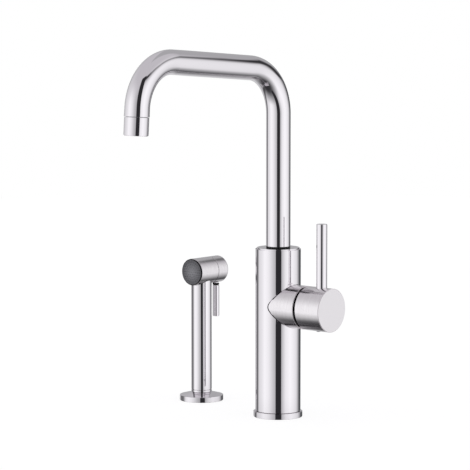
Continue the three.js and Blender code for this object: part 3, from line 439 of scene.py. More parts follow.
bump = add(tree, "ShaderNodeBump",
           inputs={"Height": ripple.outputs["Fac"], "Distance": RIPPLE_DEPTH * MM, "Strength": 0.5})
tree.links.new(bump.outputs["Normal"], surface.inputs["Normal"])

RING_RADIUS = 27.1
RING_HEIGHT = 6.3
PLUG_RADIUS = 18
FIT = 0.3  # clearance between pieces that go in each other
GROOVE = 2  # the gasket groove's depth, and half its width
gasket_middle = (PLUG_RADIUS + RING_RADIUS) / 2


def flange_outline(bore, radius, rim, middle, top):
    """A deck flange with a gasket's groove round its underside; top closes the outline."""
    return [
        (bore, 0), (middle - GROOVE, 0), (middle - GROOVE, GROOVE), (middle + GROOVE, GROOVE),
        (middle + GROOVE, 0), (radius, 0, 0.3), (radius, rim, 0.5), *top]


ring_outline = flange_outline(
    PLUG_RADIUS + FIT, RING_RADIUS, RING_HEIGHT, gasket_middle, [(PLUG_RADIUS + FIT, RING_HEIGHT)])
fitted(revolved("chromed_base_ring", ring_outline), chrome, "fixed", "base_ring")

# ------------------------------------------------------------------ deck gaskets
# Flat rings of black nitrile rubber, pressed in the grooves under the base ring and the spray's
# flange. Cut from sheet: a matt surface with fine pores.
PORE_SIZE = 0.4
PORE_DEPTH = 0.03
rubber, tree, surface, place = new_material(
    "black_nitrile_rubber",
    {"Base Color": linear("#161616"), "Roughness": 0.75, "IOR": 1.52})
pores = add(tree, "ShaderNodeTexNoise", inputs={"Vector": place, "Scale": 1 / (PORE_SIZE * MM)})
dust = add(tree, "ShaderNodeMix", {"data_type": "RGBA"},
           {"Factor": pores.outputs["Fac"], 6: linear("#101010"), 7: linear("#222223")})
tree.links.new(dust.outputs[2], surface.inputs["Base Color"])
bump = add(tree, "ShaderNodeBump",
           inputs={"Height": pores.outputs["Fac"], "Distance": PORE_DEPTH * MM, "Strength": 0.6})
tree.links.new(bump.outputs["Normal"], surface.inputs["Normal"])

GASKET_HEIGHT = 1.7


def washer(name, inner, outer, bottom, top, rounds, place=Matrix(), segments=ROUND_STEPS):
    """A flat ring; rounds are the corner radii of its inner and its outer edges."""
    return revolved(name, [
        (inner, bottom, rounds[0]), (outer, bottom, rounds[1]), (outer, top, rounds[1]),
        (inner, top, rounds[0])], place, segments)


def gasket(name, middle, place=Matrix()):
    """A flat ring that fills a flange's groove, round a middle radius."""
    return washer(name, middle - GROOVE + FIT, middle + GROOVE - FIT, 0, GASKET_HEIGHT,
                  (0.2, 0.2), place)


fitted(gasket("deck_gasket", gasket_middle), rubber, "fixed", "base_gasket")

# ------------------------------------------------------------------ mounting plug
# Brass plug that closes the body's foot, with two ports for the supply hoses and one for the
# spray's hose. Turned from bar: fine rings in a warm metal that isn't polished.
STAIN_SIZE = 6
TOOL_PITCH = 0.35
TOOL_DEPTH = 0.004
brass, tree, surface, place = new_material(
    "turned_brass", {"Base Color": linear("#B99A55"), "Metallic": 1, "Roughness": 0.32})
spread = add(tree, "ShaderNodeTexNoise", inputs={"Vector": place, "Scale": 1 / (STAIN_SIZE * MM)})
warmth = add(tree, "ShaderNodeMix", {"data_type": "RGBA"},
             {"Factor": spread.outputs["Fac"], 6: linear("#AD8E4A"), 7: linear("#C7A962")})
tree.links.new(warmth.outputs[2], surface.inputs["Base Color"])


def off_axis(tree, place):
    """The coordinates of a place, and how far it is from the piece's own axis."""
    parts = add(tree, "ShaderNodeSeparateXYZ", inputs={"Vector": place})
    flat = add(tree, "ShaderNodeCombineXYZ",
               inputs={"X": parts.outputs["X"], "Y": parts.outputs["Y"]})
    distance = add(tree, "ShaderNodeVectorMath", {"operation": "LENGTH"}, {0: flat.outputs[0]})
    return parts.outputs, distance.outputs["Value"]


parts, distance = off_axis(tree, place)
along = add(tree, "ShaderNodeMath", {"operation": "ADD"}, {0: distance, 1: parts["Z"]})
turns = add(tree, "ShaderNodeMath", {"operation": "MULTIPLY"},
            {0: along.outputs[0], 1: 2 * math.pi / (TOOL_PITCH * MM)})
marks = add(tree, "ShaderNodeMath", {"operation": "SINE"}, {0: turns.outputs[0]})
bump = add(tree, "ShaderNodeBump",
           inputs={"Height": marks.outputs[0], "Distance": TOOL_DEPTH * MM, "Strength": 0.4})
tree.links.new(bump.outputs["Normal"], surface.inputs["Normal"])


def combined(piece, operation, *tools):
    """Cuts the tools from the piece, or joins them to it, and takes the tools away."""
    for tool in tools:
        step = piece.modifiers.new(operation.lower(), "BOOLEAN")
        step.operation = operation
        step.solver = "EXACT"
        step.object = tool
        bpy.context.view_layer.update()
        shape = piece.evaluated_get(bpy.context.evaluated_depsgraph_get())
        mesh = bpy.data.meshes.new_from_object(shape)
        piece.modifiers.remove(step)
        piece.data = mesh
        bpy.data.objects.remove(tool)
    smooth(piece)


def drill(radius, start, end, place=Matrix(), segments=ROUND_STEPS):
    """A round tool for cutting, from start to end along its own Z."""
    outline = [(0, start), (radius, start), (radius, end), (0, end)]
    return revolved("drill", outline, place, segments)


def at(x, y, z):
    """A place given in millimetres."""
    return Matrix.Translation(Vector((x, y, z)) * MM)


BODY_BORE = 22
PLUG_TOP = 14.6
body_bottom = RING_HEIGHT + FIT
PORT_RADIUS = 4.7
PORT_CIRCLE = 10.5
PORT_MOUTH = 0.6
PORT_TURNS = (60, -60, 180)
OVERLAP = 1  # how far a cutting tool stands out of what it cuts
SMALL_STEPS = 48
plug = revolved("brass_mounting_plug", [
    (0, 0), (PLUG_RADIUS, 0, 0.4), (PLUG_RADIUS, body_bottom), (BODY_BORE - FIT, body_bottom),
    (BODY_BORE - FIT, PLUG_TOP, 0.4), (0, PLUG_TOP)])
port_outline = [
    (0, -OVERLAP), (PORT_RADIUS + PORT_MOUTH + OVERLAP, -OVERLAP), (PORT_RADIUS, PORT_MOUTH),
    (PORT_RADIUS, PLUG_TOP + OVERLAP), (0, PLUG_TOP + OVERLAP)]
for degrees in PORT_TURNS:
    x = PORT_CIRCLE * math.cos(math.radians(degrees))
    y = PORT_CIRCLE * math.sin(math.radians(degrees))
    combined(plug, "DIFFERENCE", revolved("port", port_outline, at(x, y, 0), SMALL_STEPS))
fitted(plug, brass, "fixed", "mounting_plug")

# ------------------------------------------------------------------ body
# Straight cylinder of drawn brass, polished and chromed. It is bored in the top for the spout's
# shank and in the side for the cartridge, and a fine groove round the hub's foot makes a dark line.
BODY_RADIUS = 25
BODY_TOP = 188
PLATE = 4
SOCKET_RADIUS = 10.9
HUB_HEIGHT = 124.4
CARTRIDGE_BORE = 18.1
HUB_BAND = 19.5  # rings of edges this far above and below the hub's axis
HUB_RADIUS = 23.96
GROOVE_WIDTH = 0.5
GROOVE_FLOOR = 22.6
GROOVE_START = 1  # from the body's axis
THROUGH = 30  # long enough for a cutting tool to come out of any wall
WIDE_STEPS = 180
SLIM_STEPS = 96
body = revolved("chromed_body", [
    (BODY_BORE, body_bottom), (BODY_RADIUS, body_bottom, 0.3),
    (BODY_RADIUS, HUB_HEIGHT - HUB_BAND), (BODY_RADIUS, HUB_HEIGHT + HUB_BAND),
    (BODY_RADIUS, BODY_TOP, 1.4), (SOCKET_RADIUS, BODY_TOP, 0.3),
    (SOCKET_RADIUS, BODY_TOP - PLATE), (BODY_BORE, BODY_TOP - PLATE)], segments=WIDE_STEPS)
ALONG_X = at(0, 0, HUB_HEIGHT) @ Matrix.Rotation(math.pi / 2, 4, "Y")
hub_groove = revolved("hub_groove", [
    (HUB_RADIUS - GROOVE_WIDTH, GROOVE_START), (HUB_RADIUS + GROOVE_WIDTH, GROOVE_START),
    (HUB_RADIUS + GROOVE_WIDTH, THROUGH), (HUB_RADIUS - GROOVE_WIDTH, THROUGH)],
    ALONG_X, WIDE_STEPS)
combined(hub_groove, "DIFFERENCE", drill(
    GROOVE_FLOOR, HUB_HEIGHT - THROUGH, HUB_HEIGHT + THROUGH, segments=WIDE_STEPS))
combined(body, "DIFFERENCE", drill(CARTRIDGE_BORE, 0, THROUGH, ALONG_X, SLIM_STEPS), hub_groove)
fitted(body, chrome, "fixed", "body_shell")

# ------------------------------------------------------------------ hub
# Sleeve that runs from the body to the handle, cut to the body's curve at its foot. Turned and
# brushed round its axis, then chromed: each line is too fine to see alone, so it is drawn coarser.
# The flat ends of such pieces show hardly any lines.
BRUSH_PITCH = 1.4
BRUSH_STRETCH = 2
BRUSH_DEPTH = 0.02
brushed, tree, surface, place = new_material(
    "brushed_chromium_plate",
    {"Base Color": linear("#F1EEF0"), "Metallic": 1, "Roughness": 0.1, "Anisotropic": 0.5})
axis = add(tree, "ShaderNodeTangent", {"direction_type": "RADIAL", "axis": "Z"})
tree.links.new(axis.outputs["Tangent"], surface.inputs["Tangent"])
parts, distance = off_axis(tree, place)
spin = add(tree, "ShaderNodeMath", {"operation": "ARCTAN2"}, {0: parts["Y"], 1: parts["X"]})
stretch = add(tree, "ShaderNodeMath", {"operation": "MULTIPLY"},
              {0: spin.outputs[0], 1: BRUSH_PITCH * MM * BRUSH_STRETCH})
line_place = add(tree, "ShaderNodeCombineXYZ",
                 inputs={"X": distance, "Y": stretch.outputs[0], "Z": parts["Z"]})
lines = add(tree, "ShaderNodeTexNoise",
            inputs={"Vector": line_place.outputs[0], "Scale": 1 / (BRUSH_PITCH * MM), "Detail": 4,
                    "Roughness": 0.65})
normal = add(tree, "ShaderNodeTexCoord").outputs["Normal"]
way = add(tree, "ShaderNodeSeparateXYZ", inputs={"Vector": normal})
end_on = add(tree, "ShaderNodeMath", {"operation": "ABSOLUTE"}, {0: way.outputs["Z"]})
calm = add(tree, "ShaderNodeMapRange",
           inputs={"Value": end_on.outputs[0], "From Min": 0.6, "From Max": 0.95,
                   "To Min": 0, "To Max": 0.85})
strokes = add(tree, "ShaderNodeMix",
              inputs={0: calm.outputs["Result"], 2: lines.outputs["Fac"], 3: 0.55}).outputs[0]
shade = add(tree, "ShaderNodeMapRange",
            inputs={"Value": strokes, "From Min": NOISE_LOW, "From Max": NOISE_HIGH,
                    "To Min": 0.06, "To Max": 0.14})
tree.links.new(shade.outputs["Result"], surface.inputs["Roughness"])
tint = add(tree, "ShaderNodeMix", {"data_type": "RGBA"},
           {"Factor": strokes, 6: linear("#E1DCDF"), 7: linear("#FFFDFE")})
tree.links.new(tint.outputs[2], surface.inputs["Base Color"])
bump = add(tree, "ShaderNodeBump",
           inputs={"Height": strokes, "Distance": BRUSH_DEPTH * MM, "Strength": 0.5})
tree.links.new(bump.outputs["Normal"], surface.inputs["Normal"])


def seat(piece, start, radius, across, way=1):
    """Moves a piece's end on to a cylinder that crosses it. The end lies below start on the
    piece's Z, or above it where way is -1; across numbers the axis that the end curves along."""
    for vertex in piece.data.vertices:
        if way * (vertex.co.z - start * MM) <= 0:
            vertex.co.z += way * math.sqrt((radius * MM) ** 2 - vertex.co[across] ** 2)
    piece.data.update()
    smooth(piece)


HUB_WALL = 3.5
HUB_END = 40.1
SEAT_BAND = 1  # depth of the end that is moved on to its seat
hub_bore = HUB_RADIUS - HUB_WALL
hub = revolved("brushed_hub_sleeve", [
    (hub_bore, 0), (HUB_RADIUS, 0, 0.2), (HUB_RADIUS, HUB_END, 0.45),
    (hub_bore, HUB_END, 0.2)], ALONG_X, WIDE_STEPS)
seat(hub, SEAT_BAND, BODY_RADIUS, across=1)
fitted(hub, brushed, "fixed", "hub_sleeve")

# ------------------------------------------------------------------ pivot ring
# Black acetal ring in the gap between hub and handle. It turns on the nut's spigot and carries
# the tilt pin at its foot. Moulded: even, slightly glossy, with a fine grain.
GRAIN_SIZE = 0.5
GRAIN_DEPTH = 0.015
acetal, tree, surface, place = new_material(
    "moulded_black_acetal",
    {"Base Color": linear("#1B1B1D"), "Roughness": 0.42, "IOR": 1.48})
grain = add(tree, "ShaderNodeTexNoise", inputs={"Vector": place, "Scale": 1 / (GRAIN_SIZE * MM)})
sheen = add(tree, "ShaderNodeMapRange",
            inputs={"Value": grain.outputs["Fac"], "To Min": 0.34, "To Max": 0.52})
tree.links.new(sheen.outputs["Result"], surface.inputs["Roughness"])
bump = add(tree, "ShaderNodeBump",
           inputs={"Height": grain.outputs["Fac"], "Distance": GRAIN_DEPTH * MM, "Strength": 0.5})
tree.links.new(bump.outputs["Normal"], surface.inputs["Normal"])

PIN_STEPS = 32


def block(width, depth, height, x, y, z):
    """A plain block, as a tool for cutting or as a small rib."""
    shape = bmesh.new()
    bmesh.ops.create_cube(shape, size=1, matrix=at(x, y, z) @ Matrix.Diagonal(
        (width * MM, depth * MM, height * MM, 1)))
    mesh = bpy.data.meshes.new("block")
    shape.to_mesh(mesh)
    shape.free()
    return new_object("block", mesh)


def cross_pin(radius, length, x, y, z, lay):
    """A round tool of that length, laid down by a quarter turn about the axis lay."""
    place = at(x, y, z) @ Matrix.Rotation(math.pi / 2, 4, lay)
    return drill(radius, -length / 2, length / 2, place, PIN_STEPS)


PIVOT_START = 40.4
PIVOT_END = 44.2
PIVOT_RADIUS = 21.46
SPIGOT_BORE = 13
TILT_X = 42.5
TILT_DROP = 19
TILT_HOLE = 1.2
TILT_HOLE_LENGTH = 12
NOTCH_WIDTH = 6.2
NOTCH_TOP = 16.2
pivot = washer("acetal_pivot_ring", SPIGOT_BORE, PIVOT_RADIUS, PIVOT_START, PIVOT_END,
               (0.2, 0.3), ALONG_X)
notch_height = HUB_RADIUS - NOTCH_TOP
combined(
    pivot, "DIFFERENCE",
    block(PIVOT_END, NOTCH_WIDTH, notch_height, TILT_X, 0,
          HUB_HEIGHT - NOTCH_TOP - notch_height / 2),
    cross_pin(TILT_HOLE, TILT_HOLE_LENGTH, TILT_X, 0, HUB_HEIGHT - TILT_DROP, "X"))
fitted(pivot, acetal, "lever_carrier", "pivot_ring")

# ------------------------------------------------------------------ handle cap
# Deep cap with a flat face, turned from bar and brushed like the hub. The lever goes in through
# its top, and a set screw comes in from below.
CAP_START = 43.1
CAP_FACE = 76.05
CAP_BORE = 21.76
CAP_FLOOR = 72.55
ROD_X = 61.8
ROD_RADIUS = 5.9
ROD_BAND = 7  # rings of edges this far on both sides of the rod's hole
SCREW_X = 57.5
SCREW_RADIUS = 2.5
THIN_STEPS = 64
cap = revolved("brushed_handle_cap", [
    (0, CAP_FLOOR), (CAP_BORE, CAP_FLOOR), (CAP_BORE, CAP_START), (HUB_RADIUS, CAP_START, 0.45),
    (HUB_RADIUS, ROD_X - ROD_BAND), (HUB_RADIUS, ROD_X + ROD_BAND), (HUB_RADIUS, CAP_FACE, 0.5),
    (0, CAP_FACE)], ALONG_X, WIDE_STEPS)
combined(
    cap, "DIFFERENCE",
    drill(ROD_RADIUS + FIT, 0, THROUGH, at(ROD_X, 0, HUB_HEIGHT), THIN_STEPS),
    drill(SCREW_RADIUS + FIT, -THROUGH, 0, at(SCREW_X, 0, HUB_HEIGHT), PIN_STEPS))
fitted(cap, brushed, "lever", "handle_cap")

# ------------------------------------------------------------------ lever
# Round brass rod with a flat end, polished and chromed. It goes through the cap's top and is
# pressed in the adapter inside.
ROD_FOOT = 137.16
ROD_TOP = 218
rod = revolved("chromed_lever_rod", [
    (0, ROD_FOOT), (ROD_RADIUS, ROD_FOOT, 0.4), (ROD_RADIUS, ROD_TOP, 0.35), (0, ROD_TOP)],
    at(ROD_X, 0, 0), SLIM_STEPS)
fitted(rod, chrome, "lever", "lever_rod")

# ------------------------------------------------------------------ set screw
# Stainless grub screw with a hexagon socket. It stands a little proud of the cap's underside.
# Machined and not polished: a grey metal with duller and brighter spots from handling.
WEAR_SIZE = 1.5
steel, tree, surface, place = new_material(
    "machined_stainless_steel",
    {"Base Color": linear("#9B9CA0"), "Metallic": 1, "Roughness": 0.3})
wear = add(tree, "ShaderNodeTexNoise", inputs={"Vector": place, "Scale": 1 / (WEAR_SIZE * MM)})
sheen = add(tree, "ShaderNodeMapRange",
            inputs={"Value": wear.outputs["Fac"], "To Min": 0.22, "To Max": 0.4})
tree.links.new(sheen.outputs["Result"], surface.inputs["Roughness"])
SCREW_END = 99.74
SCREW_LENGTH = 6.6
HEX_RADIUS = 1.3
HEX_DEPTH = 2.2
screw = revolved("steel_set_screw", [
    (0, SCREW_END), (SCREW_RADIUS, SCREW_END, 0.35), (SCREW_RADIUS, SCREW_END + SCREW_LENGTH, 0.2),
    (0, SCREW_END + SCREW_LENGTH)], at(SCREW_X, 0, 0), SMALL_STEPS)
combined(screw, "DIFFERENCE", drill(
    HEX_RADIUS, SCREW_END - OVERLAP, SCREW_END + HEX_DEPTH, at(SCREW_X, 0, 0), segments=6))
fitted(screw, steel, "lever", "set_screw")

# ------------------------------------------------------------------ spout tube
# One length of brass tube, bent twice, polished and chromed: a column, a top run that rises a
# little and a short leg that leans out. The tip's bend draws the tube a hair thinner.
TUBE_RADIUS = 13.42
TUBE_BORE = 12.22
TUBE_FOOT = 189.5
COLUMN_CORNER = 383.4
TOP_RUN = 225.2
TOP_RISE = math.radians(5)
LEG_LEAN = math.radians(4)
COLUMN_BEND = 52.5
TIP_BEND = 50
LEG_LENGTH = 8.3
BEND_STEPS = 96
BEND_DRAW = 0.17
BEND_TAPER = 25  # the length over which the tube thins before the tip's bend
EASE = 0.25  # the bevel of its cut ends
UP = Vector((0, 0, 1))
top_way = Vector((0, -math.cos(TOP_RISE), math.sin(TOP_RISE)))
leg_way = Vector((0, -math.sin(LEG_LEAN), -math.cos(LEG_LEAN)))


def bend(corner, way_in, way_out, radius):
    """Places and directions along an arc that rounds a corner of the tube's centre line."""
    turn = way_in.angle(way_out)
    start = corner - way_in * radius * math.tan(turn / 2)
    inward = way_in.cross(way_out).normalized().cross(way_in)
    centre = start + inward * radius
    spins = [Matrix.Rotation(turn * i / BEND_STEPS, 3, way_in.cross(way_out))
             for i in range(BEND_STEPS + 1)]
    return [(centre + spin @ (start - centre), spin @ way_in) for spin in spins]


column_corner = UP * COLUMN_CORNER
tip_corner = column_corner + top_way * TOP_RUN
stations = [(UP * TUBE_FOOT, UP, TUBE_RADIUS - EASE), (UP * (TUBE_FOOT + EASE), UP, TUBE_RADIUS)]
stations += [(middle, way, TUBE_RADIUS)
             for middle, way in bend(column_corner, UP, top_way, COLUMN_BEND)]
tip_bend = [(middle, way, TUBE_RADIUS - BEND_DRAW)
            for middle, way in bend(tip_corner, top_way, leg_way, TIP_BEND)]
stations.append((tip_bend[0][0] - top_way * BEND_TAPER, top_way, TUBE_RADIUS))
stations += tip_bend
tip = stations[-1][0] + leg_way * LEG_LENGTH
stations += [(tip - leg_way * EASE, leg_way, TUBE_RADIUS), (tip, leg_way, TUBE_RADIUS - EASE)]


def hoop(shape, middle, way, radius):
    """A ring of vertices round the tube's centre line."""
    side = Vector((1, 0, 0))
    front = way.cross(side)
    spins = [2 * math.pi * i / SLIM_STEPS for i in range(SLIM_STEPS)]
    return [shape.verts.new((middle + (side * math.cos(s) + front * math.sin(s)) * radius) * MM)
            for s in spins]


shape = bmesh.new()
outside = [hoop(shape, *station) for station in stations]
inside = [hoop(shape, middle, way, TUBE_BORE) for middle, way, _ in reversed(stations)]
loops = outside + inside
for low, high in zip(loops, loops[1:] + loops[:1]):
    for i in range(SLIM_STEPS):
        j = (i + 1) % SLIM_STEPS
        shape.faces.new((low[i], low[j], high[j], high[i]))
bmesh.ops.recalc_face_normals(shape, faces=shape.faces)
tube_mesh = bpy.data.meshes.new("chromed_spout_tube")
shape.to_mesh(tube_mesh)
shape.free()
spout = smooth(new_object("chromed_spout_tube", tube_mesh))
fitted(spout, chrome, "spout", "spout_tube")

# ------------------------------------------------------------------ glide ring
# Thin black acetal ring that the spout turns on. It is as wide as the tube and shows as a dark
# line at the column's foot.
GLIDE_BOTTOM = 188.05
GLIDE_HEIGHT = 1.4
GLIDE_RADIUS = 13.32
glide = revolved("acetal_glide_ring", [
    (SOCKET_RADIUS, GLIDE_BOTTOM), (GLIDE_RADIUS, GLIDE_BOTTOM, 0.2),
    (GLIDE_RADIUS, GLIDE_BOTTOM + GLIDE_HEIGHT, 0.2), (SOCKET_RADIUS, GLIDE_BOTTOM + GLIDE_HEIGHT)])
fitted(glide, acetal, "spout", "glide_ring")

# ------------------------------------------------------------------ aerator
# Chromed sleeve screwed on the spout's tip below a fine seam, with a white acetal cartridge and a
# stainless screen behind its lip.
AT_TIP = at(*tip) @ Matrix.Rotation(-LEG_LEAN, 4, "X")
SLEEVE_RADIUS = 13.05
SLEEVE_BORE = 11.29
SLEEVE_TOP = -0.4
SLEEVE_BOTTOM = -19.7
LIP_RADIUS = 10.09
LIP_HEIGHT = 1.1
sleeve = revolved("chromed_aerator_sleeve", [
    (LIP_RADIUS, SLEEVE_BOTTOM, 0.3), (SLEEVE_RADIUS, SLEEVE_BOTTOM, 0.5),
    (SLEEVE_RADIUS, SLEEVE_TOP, 0.25), (SLEEVE_BORE, SLEEVE_TOP),
    (SLEEVE_BORE, SLEEVE_BOTTOM + LIP_HEIGHT), (LIP_RADIUS, SLEEVE_BOTTOM + LIP_HEIGHT)], AT_TIP)
fitted(sleeve, chrome, "spout", "aerator_sleeve")

# Moulded acetal in its natural milky white, a little cloudy.
CLOUD_SIZE = 4
white_acetal, tree, surface, place = new_material(
    "moulded_white_acetal",
    {"Base Color": linear("#DEDCD6"), "Roughness": 0.45, "IOR": 1.48})
cloud = add(tree, "ShaderNodeTexNoise", inputs={"Vector": place, "Scale": 1 / (CLOUD_SIZE * MM)})
tint = add(tree, "ShaderNodeMix", {"data_type": "RGBA"},
           {"Factor": cloud.outputs["Fac"], 6: linear("#D8D6CF"), 7: linear("#E4E2DC")})
tree.links.new(tint.outputs[2], surface.inputs["Base Color"])
INSERT_BOTTOM = -18.3
INSERT_TOP = -10.2
INSERT_RADIUS = 10.99
INSERT_BORE = 8.4
insert = washer("acetal_aerator_insert", INSERT_BORE, INSERT_RADIUS, INSERT_BOTTOM, INSERT_TOP,
                (0.2, 0.3), AT_TIP, SLIM_STEPS)
fitted(insert, white_acetal, "spout", "aerator_insert")

# The screen is woven from wire: two layers of straight wires in a thin rim.
WIRE_PITCH = 0.9
WIRE_WIDTH = 0.24
WIRE_LAYERS = (0.28, 0.54)
WIRE_END = 0.3
SCREEN_RADIUS = 8.1
SCREEN_RIM = 0.5
SCREEN_HEIGHT = 0.8
screen_bore = SCREEN_RADIUS - SCREEN_RIM
screen = washer("steel_aerator_screen", screen_bore, SCREEN_RADIUS, INSERT_BOTTOM,
                INSERT_BOTTOM + SCREEN_HEIGHT, (0.1, 0.1), AT_TIP, SLIM_STEPS)
shape = bmesh.new()
shape.from_mesh(screen.data)
count = int(screen_bore / WIRE_PITCH)
for i in range(-count, count + 1):
    offset = i * WIRE_PITCH
    length = 2 * math.sqrt((SCREEN_RADIUS - WIRE_END) ** 2 - offset ** 2)
    for width, depth, x, y, layer in ((length, WIRE_WIDTH, 0, offset, 0),
                                      (WIRE_WIDTH, length, offset, 0, 1)):
        bmesh.ops.create_cube(
            shape, size=1, matrix=at(x, y, INSERT_BOTTOM + WIRE_LAYERS[layer]) @ Matrix.Diagonal(
                (width * MM, depth * MM, WIRE_WIDTH * MM, 1)))
shape.to_mesh(screen.data)
shape.free()
smooth(screen)
fitted(screen, steel, "spout", "aerator_screen")

# ------------------------------------------------------------------ side spray holder
# Chromed deck flange with a slightly conical top, its gasket, and the black acetal liner that the
# hose end drops into.
SPRAY_X = -136.5
SPRAY_Y = 26.6
AT_SPRAY = at(SPRAY_X, SPRAY_Y, 0)
FLANGE_RADIUS = 24.87
FLANGE_RIM = 6
FLANGE_TOP = 9.3
FLANGE_BORE = 10.2
HANDLE_RADIUS = 11.65
flange_middle = (FLANGE_BORE + FLANGE_RADIUS) / 2
holder = revolved("chromed_spray_flange", flange_outline(
    FLANGE_BORE, FLANGE_RADIUS, FLANGE_RIM, flange_middle,
    [(HANDLE_RADIUS, FLANGE_TOP, 0.3), (FLANGE_BORE, FLANGE_TOP, 0.2)]), AT_SPRAY)
fitted(holder, chrome, "fixed", "spray_flange")
fitted(gasket("spray_gasket", flange_middle, AT_SPRAY), rubber, "fixed", "flange_gasket")
LINER_BORE = 8.6
LINER_RADIUS = 9.9
LINER_HEIGHT = 9
liner = revolved("acetal_holder_liner", [
    (LINER_BORE, 0, 0.3), (LINER_RADIUS, 0, 0.2), (LINER_RADIUS, LINER_HEIGHT, 0.2),
    (LINER_BORE, LINER_HEIGHT, 0.4)], AT_SPRAY, SLIM_STEPS)
fitted(liner, acetal, "fixed", "holder_liner")

# ------------------------------------------------------------------ hose end
# Chromed collar that rests on the flange, with a tapered shank below and the spigot that the
# handle turns on above. The collar shows as a short band below a seam.
HOSE_BORE = 5
SHANK_FOOT = 1.5
SHANK_FOOT_RADIUS = 7.6
SHANK_RADIUS = 8.3
COLLAR_BOTTOM = 9.6
COLLAR_TOP = 12
SPIGOT_RADIUS = 8
SPIGOT_TOP = 20
hose_end = revolved("chromed_hose_end", [
    (HOSE_BORE, SHANK_FOOT, 0.3), (SHANK_FOOT_RADIUS, SHANK_FOOT, 0.5),
    (SHANK_RADIUS, COLLAR_BOTTOM), (HANDLE_RADIUS, COLLAR_BOTTOM, 0.25),
    (HANDLE_RADIUS, COLLAR_TOP, 0.25), (SPIGOT_RADIUS, COLLAR_TOP),
    (SPIGOT_RADIUS, SPIGOT_TOP, 0.4), (HOSE_BORE, SPIGOT_TOP, 0.3)], AT_SPRAY)
fitted(hose_end, chrome, "hose_connector", "hose_end")

# ------------------------------------------------------------------ spray handle
# Straight brass tube, polished and chromed as the spout is, and cut to the head's curve at its
# top. It turns on the hose end's spigot.
HANDLE_FOOT = 12.3
HANDLE_BORE = 10.45
HEAD_HEIGHT = 148.3
HEAD_RADIUS = 15.24
handle = revolved("chromed_spray_handle", [
    (HANDLE_BORE, HANDLE_FOOT), (HANDLE_RADIUS, HANDLE_FOOT, 0.25), (HANDLE_RADIUS, HEAD_HEIGHT),
    (HANDLE_BORE, HEAD_HEIGHT)], AT_SPRAY)
seat(handle, HEAD_HEIGHT - SEAT_BAND, HEAD_RADIUS + FIT, across=0, way=-1)
fitted(handle, chrome, "handset", "handle_tube")

# ------------------------------------------------------------------ spray head
# Brushed shell in two sections with a fine seam between them. The front one is open for the spray
# face, the rear one is closed, with a slot below for the trigger.
AT_HEAD = at(SPRAY_X, SPRAY_Y, HEAD_HEIGHT) @ Matrix.Rotation(math.pi / 2, 4, "X")
HEAD_BORE = 13.94
SHELL_FRONT = 15.6
SEAM_FRONT = -13.1
SEAM_REAR = -13.5
HEAD_REAR = -30
NECK_BAND = 11  # rings of edges this far before and behind the neck's hole
head = revolved("brushed_head_shell", [
    (HEAD_BORE, SEAM_FRONT), (HEAD_RADIUS, SEAM_FRONT, 0.2), (HEAD_RADIUS, -NECK_BAND),
    (HEAD_RADIUS, NECK_BAND), (HEAD_RADIUS, SHELL_FRONT, 0.35), (HEAD_BORE, SHELL_FRONT, 0.2)],
    AT_HEAD, WIDE_STEPS)
combined(head, "DIFFERENCE",
         drill(HANDLE_BORE, -THROUGH, 0, at(SPRAY_X, SPRAY_Y, HEAD_HEIGHT), THIN_STEPS))
fitted(head, brushed, "handset", "head_shell")

TRIGGER_BACK = 25.2
SLOT_TRAVEL = 2.83
SLOT_RADIUS = 2.7
PIVOT_RISE = 8
PIN_HOLE = 1.8
PIN_HOLE_LENGTH = 18
EAR_MIDDLE = 4.55
EAR_WIDTH = 2.5
EAR_DEPTH = 7
EAR_HEIGHT = 9.2
EAR_RISE = 1.2
REAR_WALL = 1.3
rear = revolved("brushed_head_rear", [
    (0, HEAD_REAR + REAR_WALL), (HEAD_BORE, HEAD_REAR + REAR_WALL), (HEAD_BORE, SEAM_REAR),
    (HEAD_RADIUS, SEAM_REAR, 0.2), (HEAD_RADIUS, HEAD_REAR, 1.6), (0, HEAD_REAR)],
    AT_HEAD, WIDE_STEPS)
pivot_y = SPRAY_Y + TRIGGER_BACK
pivot_z = HEAD_HEIGHT + PIVOT_RISE
combined(
    rear, "UNION",
    *[block(EAR_WIDTH, EAR_DEPTH, EAR_HEIGHT, SPRAY_X + side * EAR_MIDDLE, pivot_y,
            pivot_z + EAR_RISE) for side in (-1, 1)])
combined(
    rear, "DIFFERENCE",
    cross_pin(PIN_HOLE, PIN_HOLE_LENGTH, SPRAY_X, pivot_y, pivot_z, "Y"),
    *[drill(SLOT_RADIUS, -THROUGH, 0, at(SPRAY_X, pivot_y - step, HEAD_HEIGHT), SMALL_STEPS)
      for step in (0, SLOT_TRAVEL)],
    block(2 * SLOT_RADIUS, SLOT_TRAVEL, THROUGH, SPRAY_X, pivot_y - SLOT_TRAVEL / 2,
          HEAD_HEIGHT - THROUGH / 2))
fitted(rear, brushed, "handset", "head_rear_cap")

# ------------------------------------------------------------------ spray face
# Grey silicone plate with bored soft nozzles in rings. Its rounded lip covers the end of the shell.
# Moulded and satin, with painted sheen that makes it paler in the middle and darker towards the
# rim, painted shade that makes its glossy lip near black, and painted shade in its bores.
FACE_BOTTOM = 12.6
FACE_LIP = 15.75
FACE_TOP = 16.8
FACE_DISH = 0.35
FACE_RADIUS = 13.64
FACE_RIM = 15.14
LIP_INNER = 12.9
LIP_SLOPE = 0.4
LIP_FADE = 0.6
PALE_RADIUS = 2
DARK_RADIUS = 12.5
MOTTLE_SIZE = 1.2
MOTTLE_DEPTH = 0.03
# Painted shade: deeper than this under the face, inside the bores, the colour is near black.
BORE_SHADE_BELOW = 0.05  # deeper than this under the face, a bore looks black
face_floor = FACE_TOP - FACE_DISH
silicone, tree, surface, place = new_material(
    "moulded_grey_silicone",
    {"Base Color": linear("#6A6A6E"), "Roughness": 0.3, "IOR": 1.46})
mottle = add(tree, "ShaderNodeTexNoise", inputs={"Vector": place, "Scale": 1 / (MOTTLE_SIZE * MM)})
parts, distance = off_axis(tree, place)
# Painted sheen: the face is coloured paler towards the middle and darker towards the rim.
pale = add(tree, "ShaderNodeMix", {"data_type": "RGBA"},
           {"Factor": mottle.outputs["Fac"], 6: linear("#86868A"), 7: linear("#B0B0B4")})
